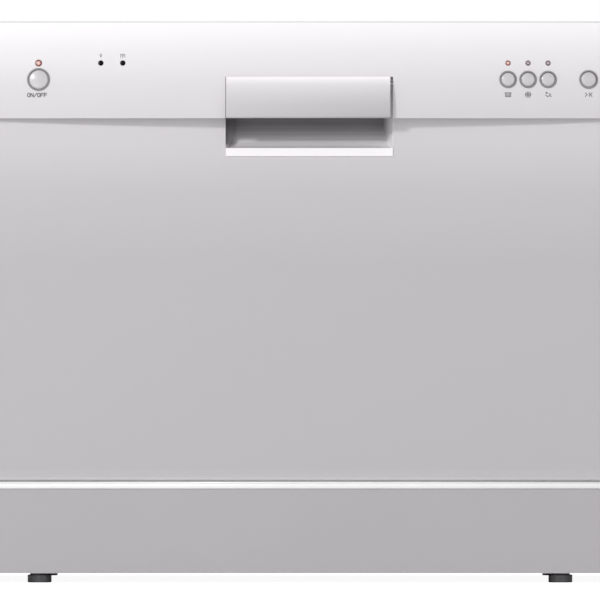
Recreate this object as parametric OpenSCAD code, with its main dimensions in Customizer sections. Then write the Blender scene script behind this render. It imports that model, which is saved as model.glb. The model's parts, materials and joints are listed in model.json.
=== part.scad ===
// Countertop dishwasher with a drop-down door, one dish rack and a bowed control panel.
// Millimetres. +X is to the right of someone facing the door, the door faces -Y, and +Z is up.
// The origin lies on the worktop, under the middle of the machine.

/* [Cabinet] */
// Width over the side panels
body_w = 550; // [530:1:600]
// Height from the worktop to the top panel
body_h = 438; // [430:1:470]
// Depth of the casing behind the door
cabinet_d = 426; // [415:1:460]
// Thickness of the painted steel panels
sheet_t = 0.8; // [0.6:0.1:1.2]
// Height of the top panel's skirt
skirt_h = 14; // [12:1:20]
// Radius along the top panel's side edges
top_edge_r = 3; // [2:0.5:6]
// Height of the plinth panel below the door
plinth_h = 66; // [60:1:74]
// Height of the white strip between the plinth and the door
strip_h = 5; // [3:0.5:7]
// How far the plinth lies behind the face of the door
plinth_recess = 2; // [1:0.5:5]
// Wall of the moulded base tray
tray_t = 2.5; // [2:0.25:3.5]
// Radius of the upright front corners
corner_r = 4; // [2:0.5:6]

/* [Feet] */
// Clear height under the base
foot_h = 7.4; // [6:0.2:14]
// Diameter of a foot's pad
foot_d = 18.6; // [14:0.2:24]
// Radius of a foot's threaded stud
stud_r = 4; // [3:0.25:5]
// Distance of the feet from the middle plane
foot_x = 203.2; // [180:0.1:225]

/* [Door] */
// Thickness of the door, from its painted face to its steel liner
door_t = 40; // [38:0.5:46]
// Gap between the liner and the casing
door_gap = 2; // [1.5:0.25:4]
// Radius of the door's rolled lower edge, which the hinge pins share
roll_r = 8.3; // [7.5:0.1:10]
// Gap between the plinth strip and the door
low_gap = 0.8; // [0.5:0.1:2]
// Thickness of the stainless liner
liner_t = 0.8; // [0.6:0.1:1.2]
// Height of the liner's raised middle
plug_h = 6; // [3:0.5:8]
// Radius of a hinge pin
pin_r = 4; // [3:0.25:4.5]

/* [Control panel] */
// Height of the control panel
fascia_h = 74.6; // [70:0.2:90]
// Wall of the control panel moulding
fascia_t = 2.5; // [2:0.25:3]
// Forward bow of the control panel from its ends to its middle
bow = 14; // [6:0.5:16]
// Step between the control panel's ends and the door's face
end_step = 2; // [1:0.25:4]
// Radius of the control panel's face, seen from the side
face_r = 250; // [200:5:400]
// Height of the top panel that shows above the control panel
top_reveal = 1.5; // [1:0.25:3]

/* [Handle] */
// Width of the handle plate
handle_w = 130.4; // [110:0.2:150]
// Height of the handle plate
handle_h = 31.9; // [28:0.1:38]
// Distance of the handle to the right of the middle
handle_x = 7.2; // [-10:0.2:10]
// How far the handle plate stands in front of the control panel
handle_proud = 6; // [4:0.25:7]
// Height of the finger recess that shows under the handle
recess_h = 29.6; // [26:0.2:32]
// Depth of the finger recess behind the door's face
recess_d = 26; // [22:0.5:28]
// How far the recess narrows towards its back, at each end
recess_taper = 8; // [4:0.5:10]
// Height of the white lip under the recess
lip_h = 6.4; // [2:0.2:8]

/* [Buttons] */
// Radius of the power button's bezel
power_r = 9; // [8:0.1:10]
// Radius of a programme button's bezel
program_r = 6.9; // [6:0.1:7.4]
// Radius of the start button's bezel
start_r = 7.4; // [7:0.1:8.5]
// Width of a bezel's ring
bezel_t = 1.2; // [1:0.1:1.6]
// Travel of a button
button_travel = 2; // [1:0.25:3]
// Height of the buttons' centres above the control panel's lower edge
button_row = 30.2; // [26:0.2:34]
// Height of the lamps' centres above the control panel's lower edge
lamp_row = 43; // [40:0.2:46]

/* [Tub] */
// Gap between the tub and each side panel
side_gap = 26; // [25:0.5:32]
// Gap between the tub's ceiling and the top of the machine
top_gap = 36; // [36:0.5:44]
// Gap between the tub and the rear panel
rear_gap = 16; // [12:0.5:30]
// Thickness of the stainless tub
tub_t = 0.8; // [0.6:0.1:1.2]
// Radius of the tub's long corners
tub_r = 22; // [14:1:30]
// Width of the ledges that the rack's wheels run on
ledge_w = 26; // [24:0.5:32]
// Height of the ledges above the tub's floor
ledge_h = 14; // [10:0.5:18]
// Width of the rubber door seal
seal_w = 7.5; // [6:0.25:7.5]

/* [Wash system] */
// Reach of the spray arm from its hub
arm_reach = 186; // [150:1:190]
// Width of the spray arm at its hub
arm_w = 46; // [38:1:60]
// Radius of the spray arm's post
post_r = 11; // [9:0.5:14]
// Radius of the sump's mouth
sump_r = 68; // [62:1:72]
// Radius of the twist-out filter
filter_r = 34; // [28:1:38]
// Radius of the salt container's cap
salt_r = 30; // [26:1:34]

/* [Rack] */
// Height of the rack's basket
rack_h = 112; // [90:1:125]
// Radius of the rack's frame wires
frame_wire_r = 2.2; // [2:0.1:2.8]
// Radius of the rack's grid wires
grid_wire_r = 1.6; // [1.4:0.1:2]
// Number of cross wires from side to side
cross_wires = 10; // [8:1:12]
// Number of long wires from front to back
long_wires = 8; // [6:1:10]
// Radius of a rack wheel
wheel_r = 14; // [12:0.5:15]
// Number of plate slots in a row of tines
plate_slots = 9; // [7:1:10]
// Distance between neighbouring tines
tine_pitch = 25; // [22:0.5:27]
// Height of the tines
tine_h = 68; // [50:1:80]

/* [Hidden] */
$fn = 48;

// How far a cutter runs past the face that it cuts
past = 1;
// Gap between parts that move past each other
free_gap = 0.4;
// Gap under a piece that is lifted out by hand
rest_gap = 0.1;
// Clearance between a pin and its bore
bore_gap = 0.05;
// Segments in a grid wire's section, in a hoop's section and in a bent corner
wire_sides = 8;
hoop_sides = 16;
bend_steps = 8;
// Segments of a full turn in the control panel's bow
bow_sides = 320;

// Planes from front to back
connector_l = 10;
depth = connector_l + cabinet_d + door_gap + door_t + end_step + bow + handle_proud;
rear_y = depth / 2 - connector_l;
case_y = rear_y - cabinet_d;
liner_y = case_y - door_gap;
door_y = liner_y - door_t;
end_y = door_y - end_step;
bow_y = end_y - bow;
handle_y = bow_y - handle_proud;
flange_y = case_y + sheet_t;

// Planes from left to right
side_x = body_w / 2;
wall_x = side_x - sheet_t;
joggle_x = side_x - top_edge_r;
tub_x = side_x - side_gap;
tub_in_x = tub_x - tub_t;

// Planes from bottom to top
base_z = foot_h;
plinth_z = base_z + plinth_h;
strip_z = plinth_z + strip_h;
hinge_z = strip_z + low_gap + roll_r;
hinge_y = door_y + roll_r;
door_low_z = hinge_z - roll_r;
skirt_z = body_h - skirt_h;
fascia_z1 = body_h - top_reveal;
fascia_z0 = fascia_z1 - fascia_h;
tub_z1 = body_h - top_gap;

// The open door's liner lies level with the ledges, less a small step
ledge_step = 1.8;
ledge_z = hinge_z + liner_y - hinge_y + ledge_step;
floor_z = ledge_z - ledge_h;
floor_fall = 6;
low_z = floor_z - floor_fall;
flat_half = 80;
tub_back_y = rear_y - rear_gap;

// Control panel: its face is turned about an upright axis far behind it
half_w = side_x;
bow_R = (half_w * half_w + bow * bow) / (2 * bow);
axis_y = bow_y + bow_R;
function setback(h) = face_r - sqrt(face_r * face_r - h * h);
function face_y(x, h) = axis_y - sqrt(pow(bow_R - setback(h), 2) - x * x);

// Buttons and lamps, from the middle of the machine
power_x = -203.6;
program_x = 162;
program_pitch = 15.6;
start_x = 224.8;
cap_gap = 0.3;
cap_proud = 1;
stem_r = 2.4;
guide_l = 7;
lamp_r = 2.1;
power_lamp_r = 2.7;
program_xs = [for (i = [0:2]) program_x + i * program_pitch];
warning_xs = [-155.1, -138];
board_y = liner_y - 20;
board_t = 1.6;
switch_t = 4;
board_posts = [-250, -95, 105, 250];

// Handle and latch
handle_x0 = handle_x - handle_w / 2;
handle_x1 = handle_x + handle_w / 2;
handle_z1 = fascia_z0 + handle_h;
handle_t = 3;
handle_curve_r = 60;
handle_side_gap = 2;
handle_top_fall = 1.4;
handle_pin_r = 1.5;
handle_boss_r = 4.6;
cup_front_y = bow_y + 6.6;
handle_axis_y = bow_y + 8;
handle_axis_z = handle_z1 - handle_boss_r - free_gap;
recess_z = fascia_z0 - recess_h;
cup_wall = 2;
cup_back_y = door_y + recess_d;
claw_w = 12;
claw_y = liner_y - 15;
claw_z = body_h - 24;
claw_pin_r = 2;
claw_swing = 12.5;
strike_r = 2.5;
strike_y = case_y + 7.5;

// Hinge
bracket_t = 3;
bracket_x = tub_x + 6;
arm_t = 3;
arm_x = bracket_x + bracket_t + 1;
boss_r = roll_r - sheet_t - 0.4;
tail_l = 29;
tail_angle = 40;
spring_r = 5;
spring_x = arm_x + arm_t / 2;
spring_y = hinge_y + tail_l * cos(tail_angle);
spring_top_z = hinge_z - tail_l * sin(tail_angle);

// Floor of the base compartment
tray_z = base_z + tray_t;
tray_h = 34;

// Sheet parts inside the cabinet
rail_t = 1.5;
rail_z = low_z - 7;
bracket_top_z = hinge_z + 10;
trim_t = 2.5;
return_w = 10;
weir_z = ledge_z - 7;
plug_x = tub_in_x - ledge_w - 14;
plug_z0 = ledge_z + 10;
plug_z1 = tub_z1 - 10;

// Feet
foot_front_y = door_y + plinth_recess + foot_d / 2 + 14;
foot_rear_y = rear_y - 34;

// Rear panel: louvres and connectors
louvre_w = 84;
louvre_pitch = 13;
louvre_rows = 6;
louvre_x = side_x - 125;
louvre_z = 250;
inlet_x = 85 - side_x;
inlet_r = 13.2;
drain_x = side_x - 125;
drain_r = 9.5;
gland_x = side_x - 63;
gland_r = 9;
port_z = 62;

// Wash system on the tub's floor
arm_y = (liner_y + plug_h + tub_back_y) / 2;
arm_z = ledge_z;
arm_h = 12;
filter_y = arm_y - post_r - filter_r - 4;
sump_y = arm_y - 25;
sump_top_z = low_z - tub_t;
salt_x = -28;
salt_y = liner_y + 58;
sump_low_z = base_z + 50;
well_low_z = base_z + 10;
shelf_z = sump_top_z - 3;
plate_t = 2;
pump_z = tray_z + 46;
pump_y = sump_y + 138;
stub_y = sump_y + sump_r + 8;
drain_z = well_low_z + 20;
heater_y1 = pump_y - 46;
heater_z = pump_z + 14;
heater_r = 22;
drain_pump_x = filter_r + 14;
hose_r = 8;
hose_x = drain_pump_x + 42;
hose_y0 = filter_y + 40;
valve_y = rear_y - 12;
fill_r = 6;
fill_x = tub_x + 13;
fill_y = valve_y - 22;
fill_top_z = 132;

// Rack
wheel_w = 9;
wheel_gap = 0.3;
wheel_x = tub_in_x - ledge_w / 2 + 1;
wheel_z = ledge_z + wheel_r + wheel_gap;
front_wheel_y = liner_y + 98;
rear_wheel_y = tub_back_y - 90;
axle_r = 3;
rack_z = wheel_z + 14;
rack_top_z = rack_z + rack_h;
rack_low_x = tub_in_x - ledge_w - 7;
rack_high_x = tub_in_x - 10;
rack_front_y = liner_y + plug_h + 32;
rack_lip_y = liner_y + plug_h + 17;
rack_back_y = tub_back_y - 34;
rack_back_top_y = tub_back_y - 24;
rack_bend_r = 14;
wire_lift = grid_wire_r * 1.2;
tine_x0 = -rack_low_x + 16;
tine_ys = [arm_y + 4, arm_y + 92];
basket_w = 72;
basket_l = 152;
basket_h = 104;
basket_x0 = rack_low_x - basket_w - 12;
basket_y0 = rack_front_y + 14;
cross_y0 = rack_front_y + 20;
cross_pitch = (rack_back_y - rack_front_y - 40) / (cross_wires - 1);
hook_wires = [1, 4];
shelf_w = 92;
shelf_s = 0.72;
shelf_y0 = cross_y0 + cross_pitch / 4 - 3;
shelf_y1 = cross_y0 + (hook_wires[1] + 0.25) * cross_pitch + 3;
shelf_hinge_x = 9 - rack_low_x - (rack_high_x - rack_low_x) * shelf_s;
shelf_hinge_z = rack_z + rack_h * shelf_s;

// Dispenser on the liner
dispenser_w = 130;
dispenser_h = 92;
dispenser_rise = 5.2;
dispenser_z = recess_z + dispenser_rise - dispenser_h;
dispenser_proud = 3;
cup_x = -41;
cup_w = 40;
cup_h = 60;
cup_deep = 22;
cap_x = 44;
cap_r = 15;

// An arc's points, from angle a0 to a1
function arc(cx, cy, r, a0, a1, n = bend_steps) =
    [for (i = [0:n]) let (a = a0 + (a1 - a0) * i / n) [cx + r * cos(a), cy + r * sin(a)]];
// The outline of a rectangle with round corners, about its middle
function rounded(w, h, r) = concat(
    arc(w / 2 - r, h / 2 - r, r, 0, 90), arc(r - w / 2, h / 2 - r, r, 90, 180),
    arc(r - w / 2, r - h / 2, r, 180, 270), arc(w / 2 - r, r - h / 2, r, 270, 360));
// The outline of a bent strip of thickness t, to the left of an open path
function unit(v) = v / norm(v);
function left_of(p, i) = let (d = unit(p[i + 1] - p[i])) [-d[1], d[0]];
function mitre(p, i) = i == 0 ? left_of(p, 0)
    : i == len(p) - 1 ? left_of(p, i - 1)
    : let (a = left_of(p, i - 1), b = left_of(p, i)) (a + b) / (1 + a * b);
function ribbon(p, t) = concat(p, [for (i = [len(p) - 1:-1:0]) p[i] + t * mitre(p, i)]);

// Solids between two planes: the outline of along_x lies in Y and Z, that of along_y in X and Z
module along_x(x0, x1) {
    translate([x0, 0, 0]) rotate([90, 0, 90]) linear_extrude(x1 - x0) children();
}
module along_y(y0, y1) {
    translate([0, y1, 0]) rotate([90, 0, 0]) linear_extrude(y1 - y0) children();
}
module along_z(z0, z1) {
    translate([0, 0, z0]) linear_extrude(z1 - z0) children();
}
module block(x0, x1, y0, y1, z0, z1) {
    translate([x0, y0, z0]) cube([x1 - x0, y1 - y0, z1 - z0]);
}
module rod_x(x0, x1, y, z, r) {
    translate([x0, y, z]) rotate([0, 90, 0]) cylinder(r = r, h = x1 - x0);
}
module rod_y(y0, y1, x, z, r) {
    translate([x, y1, z]) rotate([90, 0, 0]) cylinder(r = r, h = y1 - y0);
}
module rod_z(z0, z1, x, y, r) {
    translate([x, y, z0]) cylinder(r = r, h = z1 - z0);
}
// A straight wire from a to b
module wire(a, b, r) {
    v = b - a;
    translate(a) rotate([0, acos(v[2] / norm(v)), atan2(v[1], v[0])])
        cylinder(r = r, h = norm(v), $fn = wire_sides);
}
// A wire bent along a list of points
module bent_wire(p, r) {
    for (i = [0:len(p) - 2])
        let (d = unit(p[i + 1] - p[i]))
            wire(p[i] - d * r * 0.4, p[i + 1] + d * r * 0.4, r);
}
// Both sides of the machine
module both_sides() {
    children();
    mirror([1, 0, 0]) children();
}
// Puts a piece on the control panel's face, with -Y pointing straight out of it
module on_face(x, h) {
    translate([x, face_y(x, h), fascia_z0 + h])
        rotate([-asin(h / face_r), 0, asin(x / (bow_R - setback(h)))])
            children();
}

// The cabinet's outline from above, moved inwards by g, with round front corners
function cabinet_plan(g) = concat(
    [[g - side_x, rear_y - g]],
    arc(corner_r - side_x, door_y + plinth_recess + corner_r, corner_r - g, 180, 270),
    arc(side_x - corner_r, door_y + plinth_recess + corner_r, corner_r - g, 270, 360),
    [[side_x - g, rear_y - g]]);
// The tub's section in X and Z, moved outwards by g, with a ledge along each side
function tub_outline(g) = concat(
    arc(tub_in_x - tub_r, tub_z1 - tub_t - tub_r, tub_r + g, 0, 90),
    arc(tub_r - tub_in_x, tub_z1 - tub_t - tub_r, tub_r + g, 90, 180),
    [[-tub_in_x - g, ledge_z - g], [ledge_w - tub_in_x - g, ledge_z - g],
     [ledge_w - tub_in_x - g, floor_z - g], [-flat_half, low_z - g],
     [flat_half, low_z - g], [tub_in_x - ledge_w + g, floor_z - g],
     [tub_in_x - ledge_w + g, ledge_z - g], [tub_in_x + g, ledge_z - g]]);
// The door's section in Y and Z and its outline from above, moved inwards by g
function door_section(g) = concat(
    [[liner_y, fascia_z0 - g], [door_y + g, fascia_z0 - g]],
    arc(hinge_y, hinge_z, roll_r - g, 180, 270),
    [[liner_y, door_low_z + g]]);
function door_plan(g) = concat(
    [[g - side_x, liner_y]],
    arc(corner_r - side_x, door_y + corner_r, corner_r - g, 180, 270),
    arc(side_x - corner_r, door_y + corner_r, corner_r - g, 270, 360),
    [[side_x - g, liner_y]]);

// ---- Cabinet ----
module base_tray() {
    foot_boss_r = stud_r + 4;
    rib_top_z = plinth_z - 12;
    rib_y = flange_y + rail_t;
    color("dimgray") difference() {
        union() {
            difference() {
                along_z(base_z, base_z + tray_h) polygon(cabinet_plan(sheet_t));
                along_z(tray_z, base_z + tray_h + past) polygon(cabinet_plan(sheet_t + tray_t));
            }
            block(-tub_x, tub_x, rib_y, rib_y + tray_t, tray_z - past / 2, rib_top_z);
            for (x = [-foot_x, foot_x], y = [foot_front_y, foot_rear_y])
                rod_z(base_z + tray_t / 2, base_z + 3 * stud_r, x, y, foot_boss_r);
        }
        for (x = [-foot_x, foot_x], y = [foot_front_y, foot_rear_y])
            rod_z(base_z - past, base_z + 3 * stud_r + past, x, y, stud_r + bore_gap);
    }
}

module rubber_feet() {
    pad_gap = 1.2;
    color([0.13, 0.13, 0.14])
        for (x = [-foot_x, foot_x], y = [foot_front_y, foot_rear_y]) {
            rod_z(0, base_z - pad_gap, x, y, foot_d / 2);
            rod_z(base_z - 2 * pad_gap, base_z, x, y, foot_d / 2 - 2);
            rod_z(base_z - 2 * pad_gap, base_z + 3 * stud_r - past, x, y, stud_r);
        }
}

module kick_panel() {
    color([0.7, 0.69, 0.69]) intersection() {
        along_z(base_z, plinth_z) difference() {
            polygon(cabinet_plan(0));
            polygon(cabinet_plan(sheet_t));
        }
        block(-body_w, body_w, handle_y, case_y - free_gap, 0, body_h);
    }
}

module plinth_trim() {
    lip_y = door_y + 0.5;
    nose_r = 3;
    back_y = case_y - free_gap;
    tab_x = tub_x - 10;
    slot_y = hinge_y + 4;
    color("white") difference() {
        union() {
            along_x(-side_x, side_x) polygon(concat(
                [[lip_y, plinth_z]],
                arc(lip_y + nose_r, strip_z - nose_r, nose_r, 180, 90),
                [[back_y, strip_z], [back_y, strip_z - trim_t],
                 [lip_y + nose_r + 1, strip_z - trim_t], [lip_y + nose_r + 1, plinth_z]]));
            block(-tab_x, tab_x, back_y - trim_t, flange_y, strip_z - trim_t, strip_z);
        }
        both_sides()
            block(arm_x - 1, arm_x + arm_t + 3, slot_y, case_y, plinth_z - past, strip_z + past);
    }
}

module front_rail() {
    flange_w = 14;
    color("silver") along_x(-bracket_x, bracket_x) polygon(ribbon([
        [flange_y + flange_w, rail_z], [flange_y, rail_z], [flange_y, base_z + tray_h]], rail_t));
}

module top_panel() {
    hem_h = 10;
    hem_x = joggle_x - return_w - free_gap;
    color([0.93, 0.93, 0.93]) {
        along_y(case_y, rear_y) polygon(ribbon(concat(
            [[side_x, skirt_z]],
            arc(side_x - top_edge_r, body_h - top_edge_r, top_edge_r, 0, 90),
            arc(top_edge_r - side_x, body_h - top_edge_r, top_edge_r, 90, 180),
            [[-side_x, skirt_z]]), sheet_t));
        block(-hem_x, hem_x, case_y, flange_y, body_h - hem_h, body_h - sheet_t / 2);
        block(-wall_x, wall_x, rear_y - sheet_t, rear_y, skirt_z, body_h - top_edge_r);
        block(-joggle_x, joggle_x, rear_y - sheet_t, rear_y, body_h - top_edge_r - past, body_h - sheet_t / 2);
    }
}

module side_panel() {
    low = base_z + 6;
    step_z = skirt_z - 4;
    color([0.93, 0.93, 0.93]) {
        along_y(case_y, rear_y - sheet_t) polygon(ribbon([
            [side_x, low], [side_x, step_z], [joggle_x, step_z + 3.4],
            [joggle_x, body_h - sheet_t], [joggle_x - return_w, body_h - sheet_t]], sheet_t));
        for (y = [case_y, rear_y - 2 * sheet_t])
            block(side_x - return_w, wall_x + sheet_t / 2, y, y + sheet_t, base_z + tray_h, step_z);
    }
}
module right_side_panel() {
    side_panel();
}
module left_side_panel() {
    mirror([1, 0, 0]) side_panel();
}

module rear_panel() {
    slot_h = 4;
    hood = 3;
    color([0.75, 0.75, 0.76]) {
        difference() {
            block(-side_x, side_x, rear_y - sheet_t, rear_y, base_z + 6, skirt_z - free_gap);
            for (x = [-louvre_x, louvre_x], i = [0:louvre_rows - 1])
                block(x - louvre_w / 2, x + louvre_w / 2, rear_y - 2, rear_y + 1,
                    louvre_z + i * louvre_pitch, louvre_z + i * louvre_pitch + slot_h);
            rod_y(rear_y - 2, rear_y + 1, inlet_x, port_z, inlet_r + free_gap);
            rod_y(rear_y - 2, rear_y + 1, drain_x, port_z, drain_r + free_gap);
            rod_y(rear_y - 2, rear_y + 1, gland_x, port_z, gland_r + free_gap);
        }
        for (x = [-louvre_x, louvre_x], i = [0:louvre_rows - 1])
            translate([0, 0, louvre_z + i * louvre_pitch]) along_x(x - louvre_w / 2, x + louvre_w / 2)
                polygon(ribbon([[rear_y - sheet_t / 2, slot_h], [rear_y + sheet_t, slot_h],
                    [rear_y + hood, 0]], sheet_t));
    }
}

module cabinet_screws() {
    head_r = 4;
    head_h = 2;
    inset = 14;
    color("silver") {
        for (x = [inset - side_x, side_x - inset], i = [0:3])
            rod_y(rear_y, rear_y + head_h, x, base_z + tray_h + inset + i * 108, head_r);
        for (i = [-1:1])
            rod_y(rear_y, rear_y + head_h, i * 180, skirt_z + skirt_h / 2 - 1, head_r);
    }
}

module tub() {
    plate_x = joggle_x - sheet_t - free_gap;
    slot_half = claw_w / 2 + 2;
    color([0.78, 0.79, 0.8]) difference() {
        union() {
            along_y(flange_y, tub_back_y) polygon(tub_outline(tub_t));
            block(-plate_x, plate_x, flange_y, flange_y + tub_t, bracket_top_z + 2, body_h - 6);
            block(-tub_x - 1, tub_x + 1, flange_y, flange_y + tub_t, rail_z, ledge_z);
        }
        along_y(flange_y + tub_t, tub_back_y - tub_t) polygon(tub_outline(0));
        along_y(flange_y - past, flange_y + tub_t + past) intersection() {
            polygon(tub_outline(0));
            translate([-body_w, weir_z]) square([2 * body_w, body_h]);
        }
        rod_z(low_z - 5, low_z + 5, 0, sump_y, sump_r - 4);
        rod_z(low_z - 5, low_z + 5, salt_x, salt_y, salt_r + free_gap);
        block(handle_x - slot_half, handle_x + slot_half, flange_y - past, flange_y + tub_t + past,
            tub_z1 + 1, claw_z + claw_swing);
    }
}

module tub_seal() {
    lip = 1;
    color([0.3, 0.3, 0.31]) along_y(liner_y + free_gap, flange_y) intersection() {
        difference() {
            polygon(tub_outline(lip + seal_w));
            polygon(tub_outline(lip));
        }
        translate([-body_w, ledge_z + 6]) square([2 * body_w, body_h]);
    }
}

module hinge_brackets() {
    foot_w = 14;
    plate_back_y = flange_y + 46;
    head_t = 1.2;
    head_gap = 0.3;
    color("silver") both_sides() {
        along_x(bracket_x, bracket_x + bracket_t) {
            translate([hinge_y, hinge_z]) circle(r = boss_r);
            translate([hinge_y, hinge_z - 1]) square([plate_back_y - hinge_y, bracket_top_z - hinge_z + 1]);
            translate([flange_y + rail_t, tray_z])
                square([plate_back_y - flange_y - rail_t, bracket_top_z - tray_z]);
        }
        block(bracket_x - foot_w, bracket_x + past, flange_y + rail_t + tray_t, plate_back_y,
            tray_z, tray_z + bracket_t);
        rod_x(bracket_x + past, arm_x + arm_t + head_gap + head_t / 2, hinge_y, hinge_z, pin_r);
        rod_x(arm_x + arm_t + head_gap, arm_x + arm_t + head_gap + head_t, hinge_y, hinge_z, pin_r + 1.5);
    }
}

module door_springs() {
    eye_h = 5;
    cap_t = 1.5;
    hook_r = 1;
    body_top_z = spring_top_z - 9;
    hook_x = arm_x + arm_t + 1.6;
    color([0.55, 0.55, 0.57]) both_sides() {
        rod_z(tray_z, tray_z + eye_h + past, spring_x, spring_y, spring_r - 2);
        difference() {
            rod_z(tray_z + eye_h, body_top_z, spring_x, spring_y, spring_r);
            rod_z(tray_z + eye_h + cap_t, body_top_z - cap_t, spring_x, spring_y, spring_r - 1.4);
        }
        rod_z(body_top_z - cap_t / 2, spring_top_z, hook_x, spring_y, hook_r);
        rod_x(arm_x - 1, hook_x + hook_r, spring_y, spring_top_z, hook_r);
    }
}

module door_strike() {
    cheek_t = 2;
    cheek_h = 18;
    half = claw_w / 2 + 6;
    y0 = flange_y + tub_t;
    y1 = strike_y + 8;
    rod_level = claw_z - 7;
    color("silver") {
        for (s = [-1, 1])
            translate([handle_x + s * half - cheek_t / 2, y0, tub_z1]) cube([cheek_t, y1 - y0, cheek_h]);
        block(handle_x - half, handle_x + half, y0 + 4, y1, tub_z1, tub_z1 + 1);
        rod_x(handle_x - half, handle_x + half, strike_y, rod_level, strike_r);
    }
}

// ---- Wash system ----
module sump() {
    rim_t = 3;
    wall = 2.5;
    bowl_r = sump_r - 4;
    well_r = filter_r + 5;
    stub_r = 14;
    color([0.35, 0.36, 0.38]) difference() {
        union() {
            rod_z(shelf_z, sump_top_z, 0, sump_y, sump_r + 6);
            rod_z(sump_low_z, shelf_z + past, 0, sump_y, bowl_r + wall);
            rod_z(well_low_z, sump_low_z + past, 0, filter_y, well_r);
            rod_y(sump_y, stub_y, 0, heater_z, stub_r + 3);
            rod_x(0, filter_r + 14, filter_y, drain_z, stub_r);
        }
        difference() {
            rod_z(sump_low_z + wall, sump_top_z + past, 0, sump_y, bowl_r - 4);
            rod_z(sump_low_z, shelf_z - past, 0, arm_y, post_r + 3);
        }
        rod_z(shelf_z, sump_top_z + past, 0, sump_y, bowl_r);
        rod_z(well_low_z + wall, sump_low_z + 2 * wall, 0, filter_y, well_r - wall);
    }
}

module spray_post() {
    wall = 2.5;
    color([0.4, 0.42, 0.45]) difference() {
        union() {
            rod_z(shelf_z - past, arm_z + arm_h, 0, arm_y, post_r);
            rod_z(shelf_z - past, arm_z - free_gap, 0, arm_y, post_r + 3);
        }
        rod_z(shelf_z - 2 * past, arm_z + arm_h + past, 0, arm_y, post_r - wall);
    }
}

module coarse_filter() {
    rim_gap = 0.6;
    color([0.7, 0.71, 0.73]) difference() {
        rod_z(shelf_z, shelf_z + plate_t, 0, sump_y, sump_r - 4 - rim_gap);
        rod_z(shelf_z - past, shelf_z + plate_t + past, 0, filter_y, filter_r + free_gap);
        rod_z(shelf_z - past, shelf_z + plate_t + past, 0, arm_y, post_r + 3 + free_gap);
        for (s = [-1, 1], a = [-12:12:72], r = [sump_r - 14, sump_r - 24, sump_r - 34])
            if (norm([r * cos(a), sump_y + r * sin(a) - arm_y]) > post_r + 12
                && norm([r * cos(a), sump_y + r * sin(a) - filter_y]) > filter_r + 7)
                translate([s * r * cos(a), sump_y + r * sin(a), shelf_z - past])
                    cylinder(r = 1.6, h = plate_t + 2 * past);
    }
}

module fine_filter() {
    wall = 2;
    body_low_z = well_low_z + 5;
    rim_z = shelf_z + plate_t;
    slot_h = (shelf_z - body_low_z) / 2 - 8;
    grip_h = 12;
    color([0.55, 0.58, 0.62]) difference() {
        union() {
            rod_z(body_low_z, rim_z, 0, filter_y, filter_r - past);
            rod_z(rim_z - plate_t / 2, rim_z + 2, 0, filter_y, filter_r - past);
            translate([-filter_r + 6, filter_y - 3, rim_z]) cube([2 * filter_r - 12, 6, grip_h]);
        }
        rod_z(body_low_z + wall, rim_z - wall, 0, filter_y, filter_r - past - wall);
        for (a = [0:30:330], k = [0, 1])
            translate([0, filter_y, body_low_z + 6 + k * (slot_h + 6)]) rotate(a)
                translate([filter_r - 6, -3, 0]) cube([10, 6, slot_h]);
        for (s = [-1, 1], x = [8, 14, 20])
            rod_z(rim_z - 2 * wall, rim_z + 3, s * x, filter_y + 12, 2);
    }
}

module wash_pump() {
    volute_r = 40;
    volute_w = 30;
    motor_r = 33;
    motor_l = 104;
    saddle_t = 6;
    color([0.25, 0.26, 0.28]) {
        rod_x(-volute_w / 2, volute_w / 2, pump_y, pump_z, volute_r);
        rod_y(heater_y1, pump_y, 0, heater_z, 14);
        rod_x(-volute_w / 2 - motor_l, past - volute_w / 2, pump_y, pump_z, motor_r);
        for (i = [0:7])
            rod_x(-volute_w / 2 - 16 - i * 9, -volute_w / 2 - 12 - i * 9, pump_y, pump_z, motor_r + 3);
        for (x = [-volute_w / 2 - motor_l + 8, -volute_w / 2 - 10])
            block(x, x + saddle_t, pump_y - motor_r, pump_y + motor_r, tray_z, pump_z);
    }
}

module water_heater() {
    color("silver") {
        rod_y(stub_y, heater_y1, 0, heater_z, heater_r);
        for (y = [stub_y + 8, heater_y1 - 8])
            rod_z(heater_z - heater_r - 6, heater_z, 0, y, 3);
    }
}

module drain_pump() {
    volute_r = 24;
    volute_w = 20;
    motor = 34;
    x0 = drain_pump_x + volute_w;
    color([0.3, 0.31, 0.33]) {
        rod_x(drain_pump_x, x0, filter_y, drain_z, volute_r - 4);
        block(x0 - past, x0 + motor, filter_y - motor / 2, filter_y + motor / 2, tray_z, drain_z + motor / 2);
        rod_z(drain_z, port_z + hose_r + 2, hose_x, hose_y0 - 20, hose_r + 2);
        rod_y(hose_y0 - 20, hose_y0, hose_x, port_z, hose_r);
    }
}

module drain_hose() {
    bend_r = 26;
    y1 = rear_y - 60;
    turn_y = y1 - 2 * bend_r;
    color([0.2, 0.2, 0.21]) {
        rod_y(hose_y0, turn_y, hose_x, port_z, hose_r);
        translate([hose_x + bend_r, turn_y, port_z]) rotate([0, 0, 90])
            rotate_extrude(angle = 90) translate([bend_r, 0]) circle(r = hose_r);
        rod_x(hose_x + bend_r, drain_x - bend_r, turn_y + bend_r, port_z, hose_r);
        translate([drain_x - bend_r, y1, port_z]) rotate([0, 0, -90])
            rotate_extrude(angle = 90) translate([bend_r, 0]) circle(r = hose_r);
        rod_y(y1, rear_y - 20, drain_x, port_z, hose_r);
    }
}

module drain_connector() {
    bore_r = drain_r - 2;
    color([0.85, 0.85, 0.85]) difference() {
        union() {
            rod_y(rear_y - 20, rear_y + connector_l, drain_x, port_z, drain_r);
            rod_y(rear_y - sheet_t - 4, rear_y - sheet_t, drain_x, port_z, drain_r + 6);
            rod_y(rear_y - 2, rear_y, drain_x, port_z, drain_r + free_gap - rest_gap);
        }
        rod_y(rear_y - 16, rear_y + connector_l + past, drain_x, port_z, bore_r);
    }
}

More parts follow.
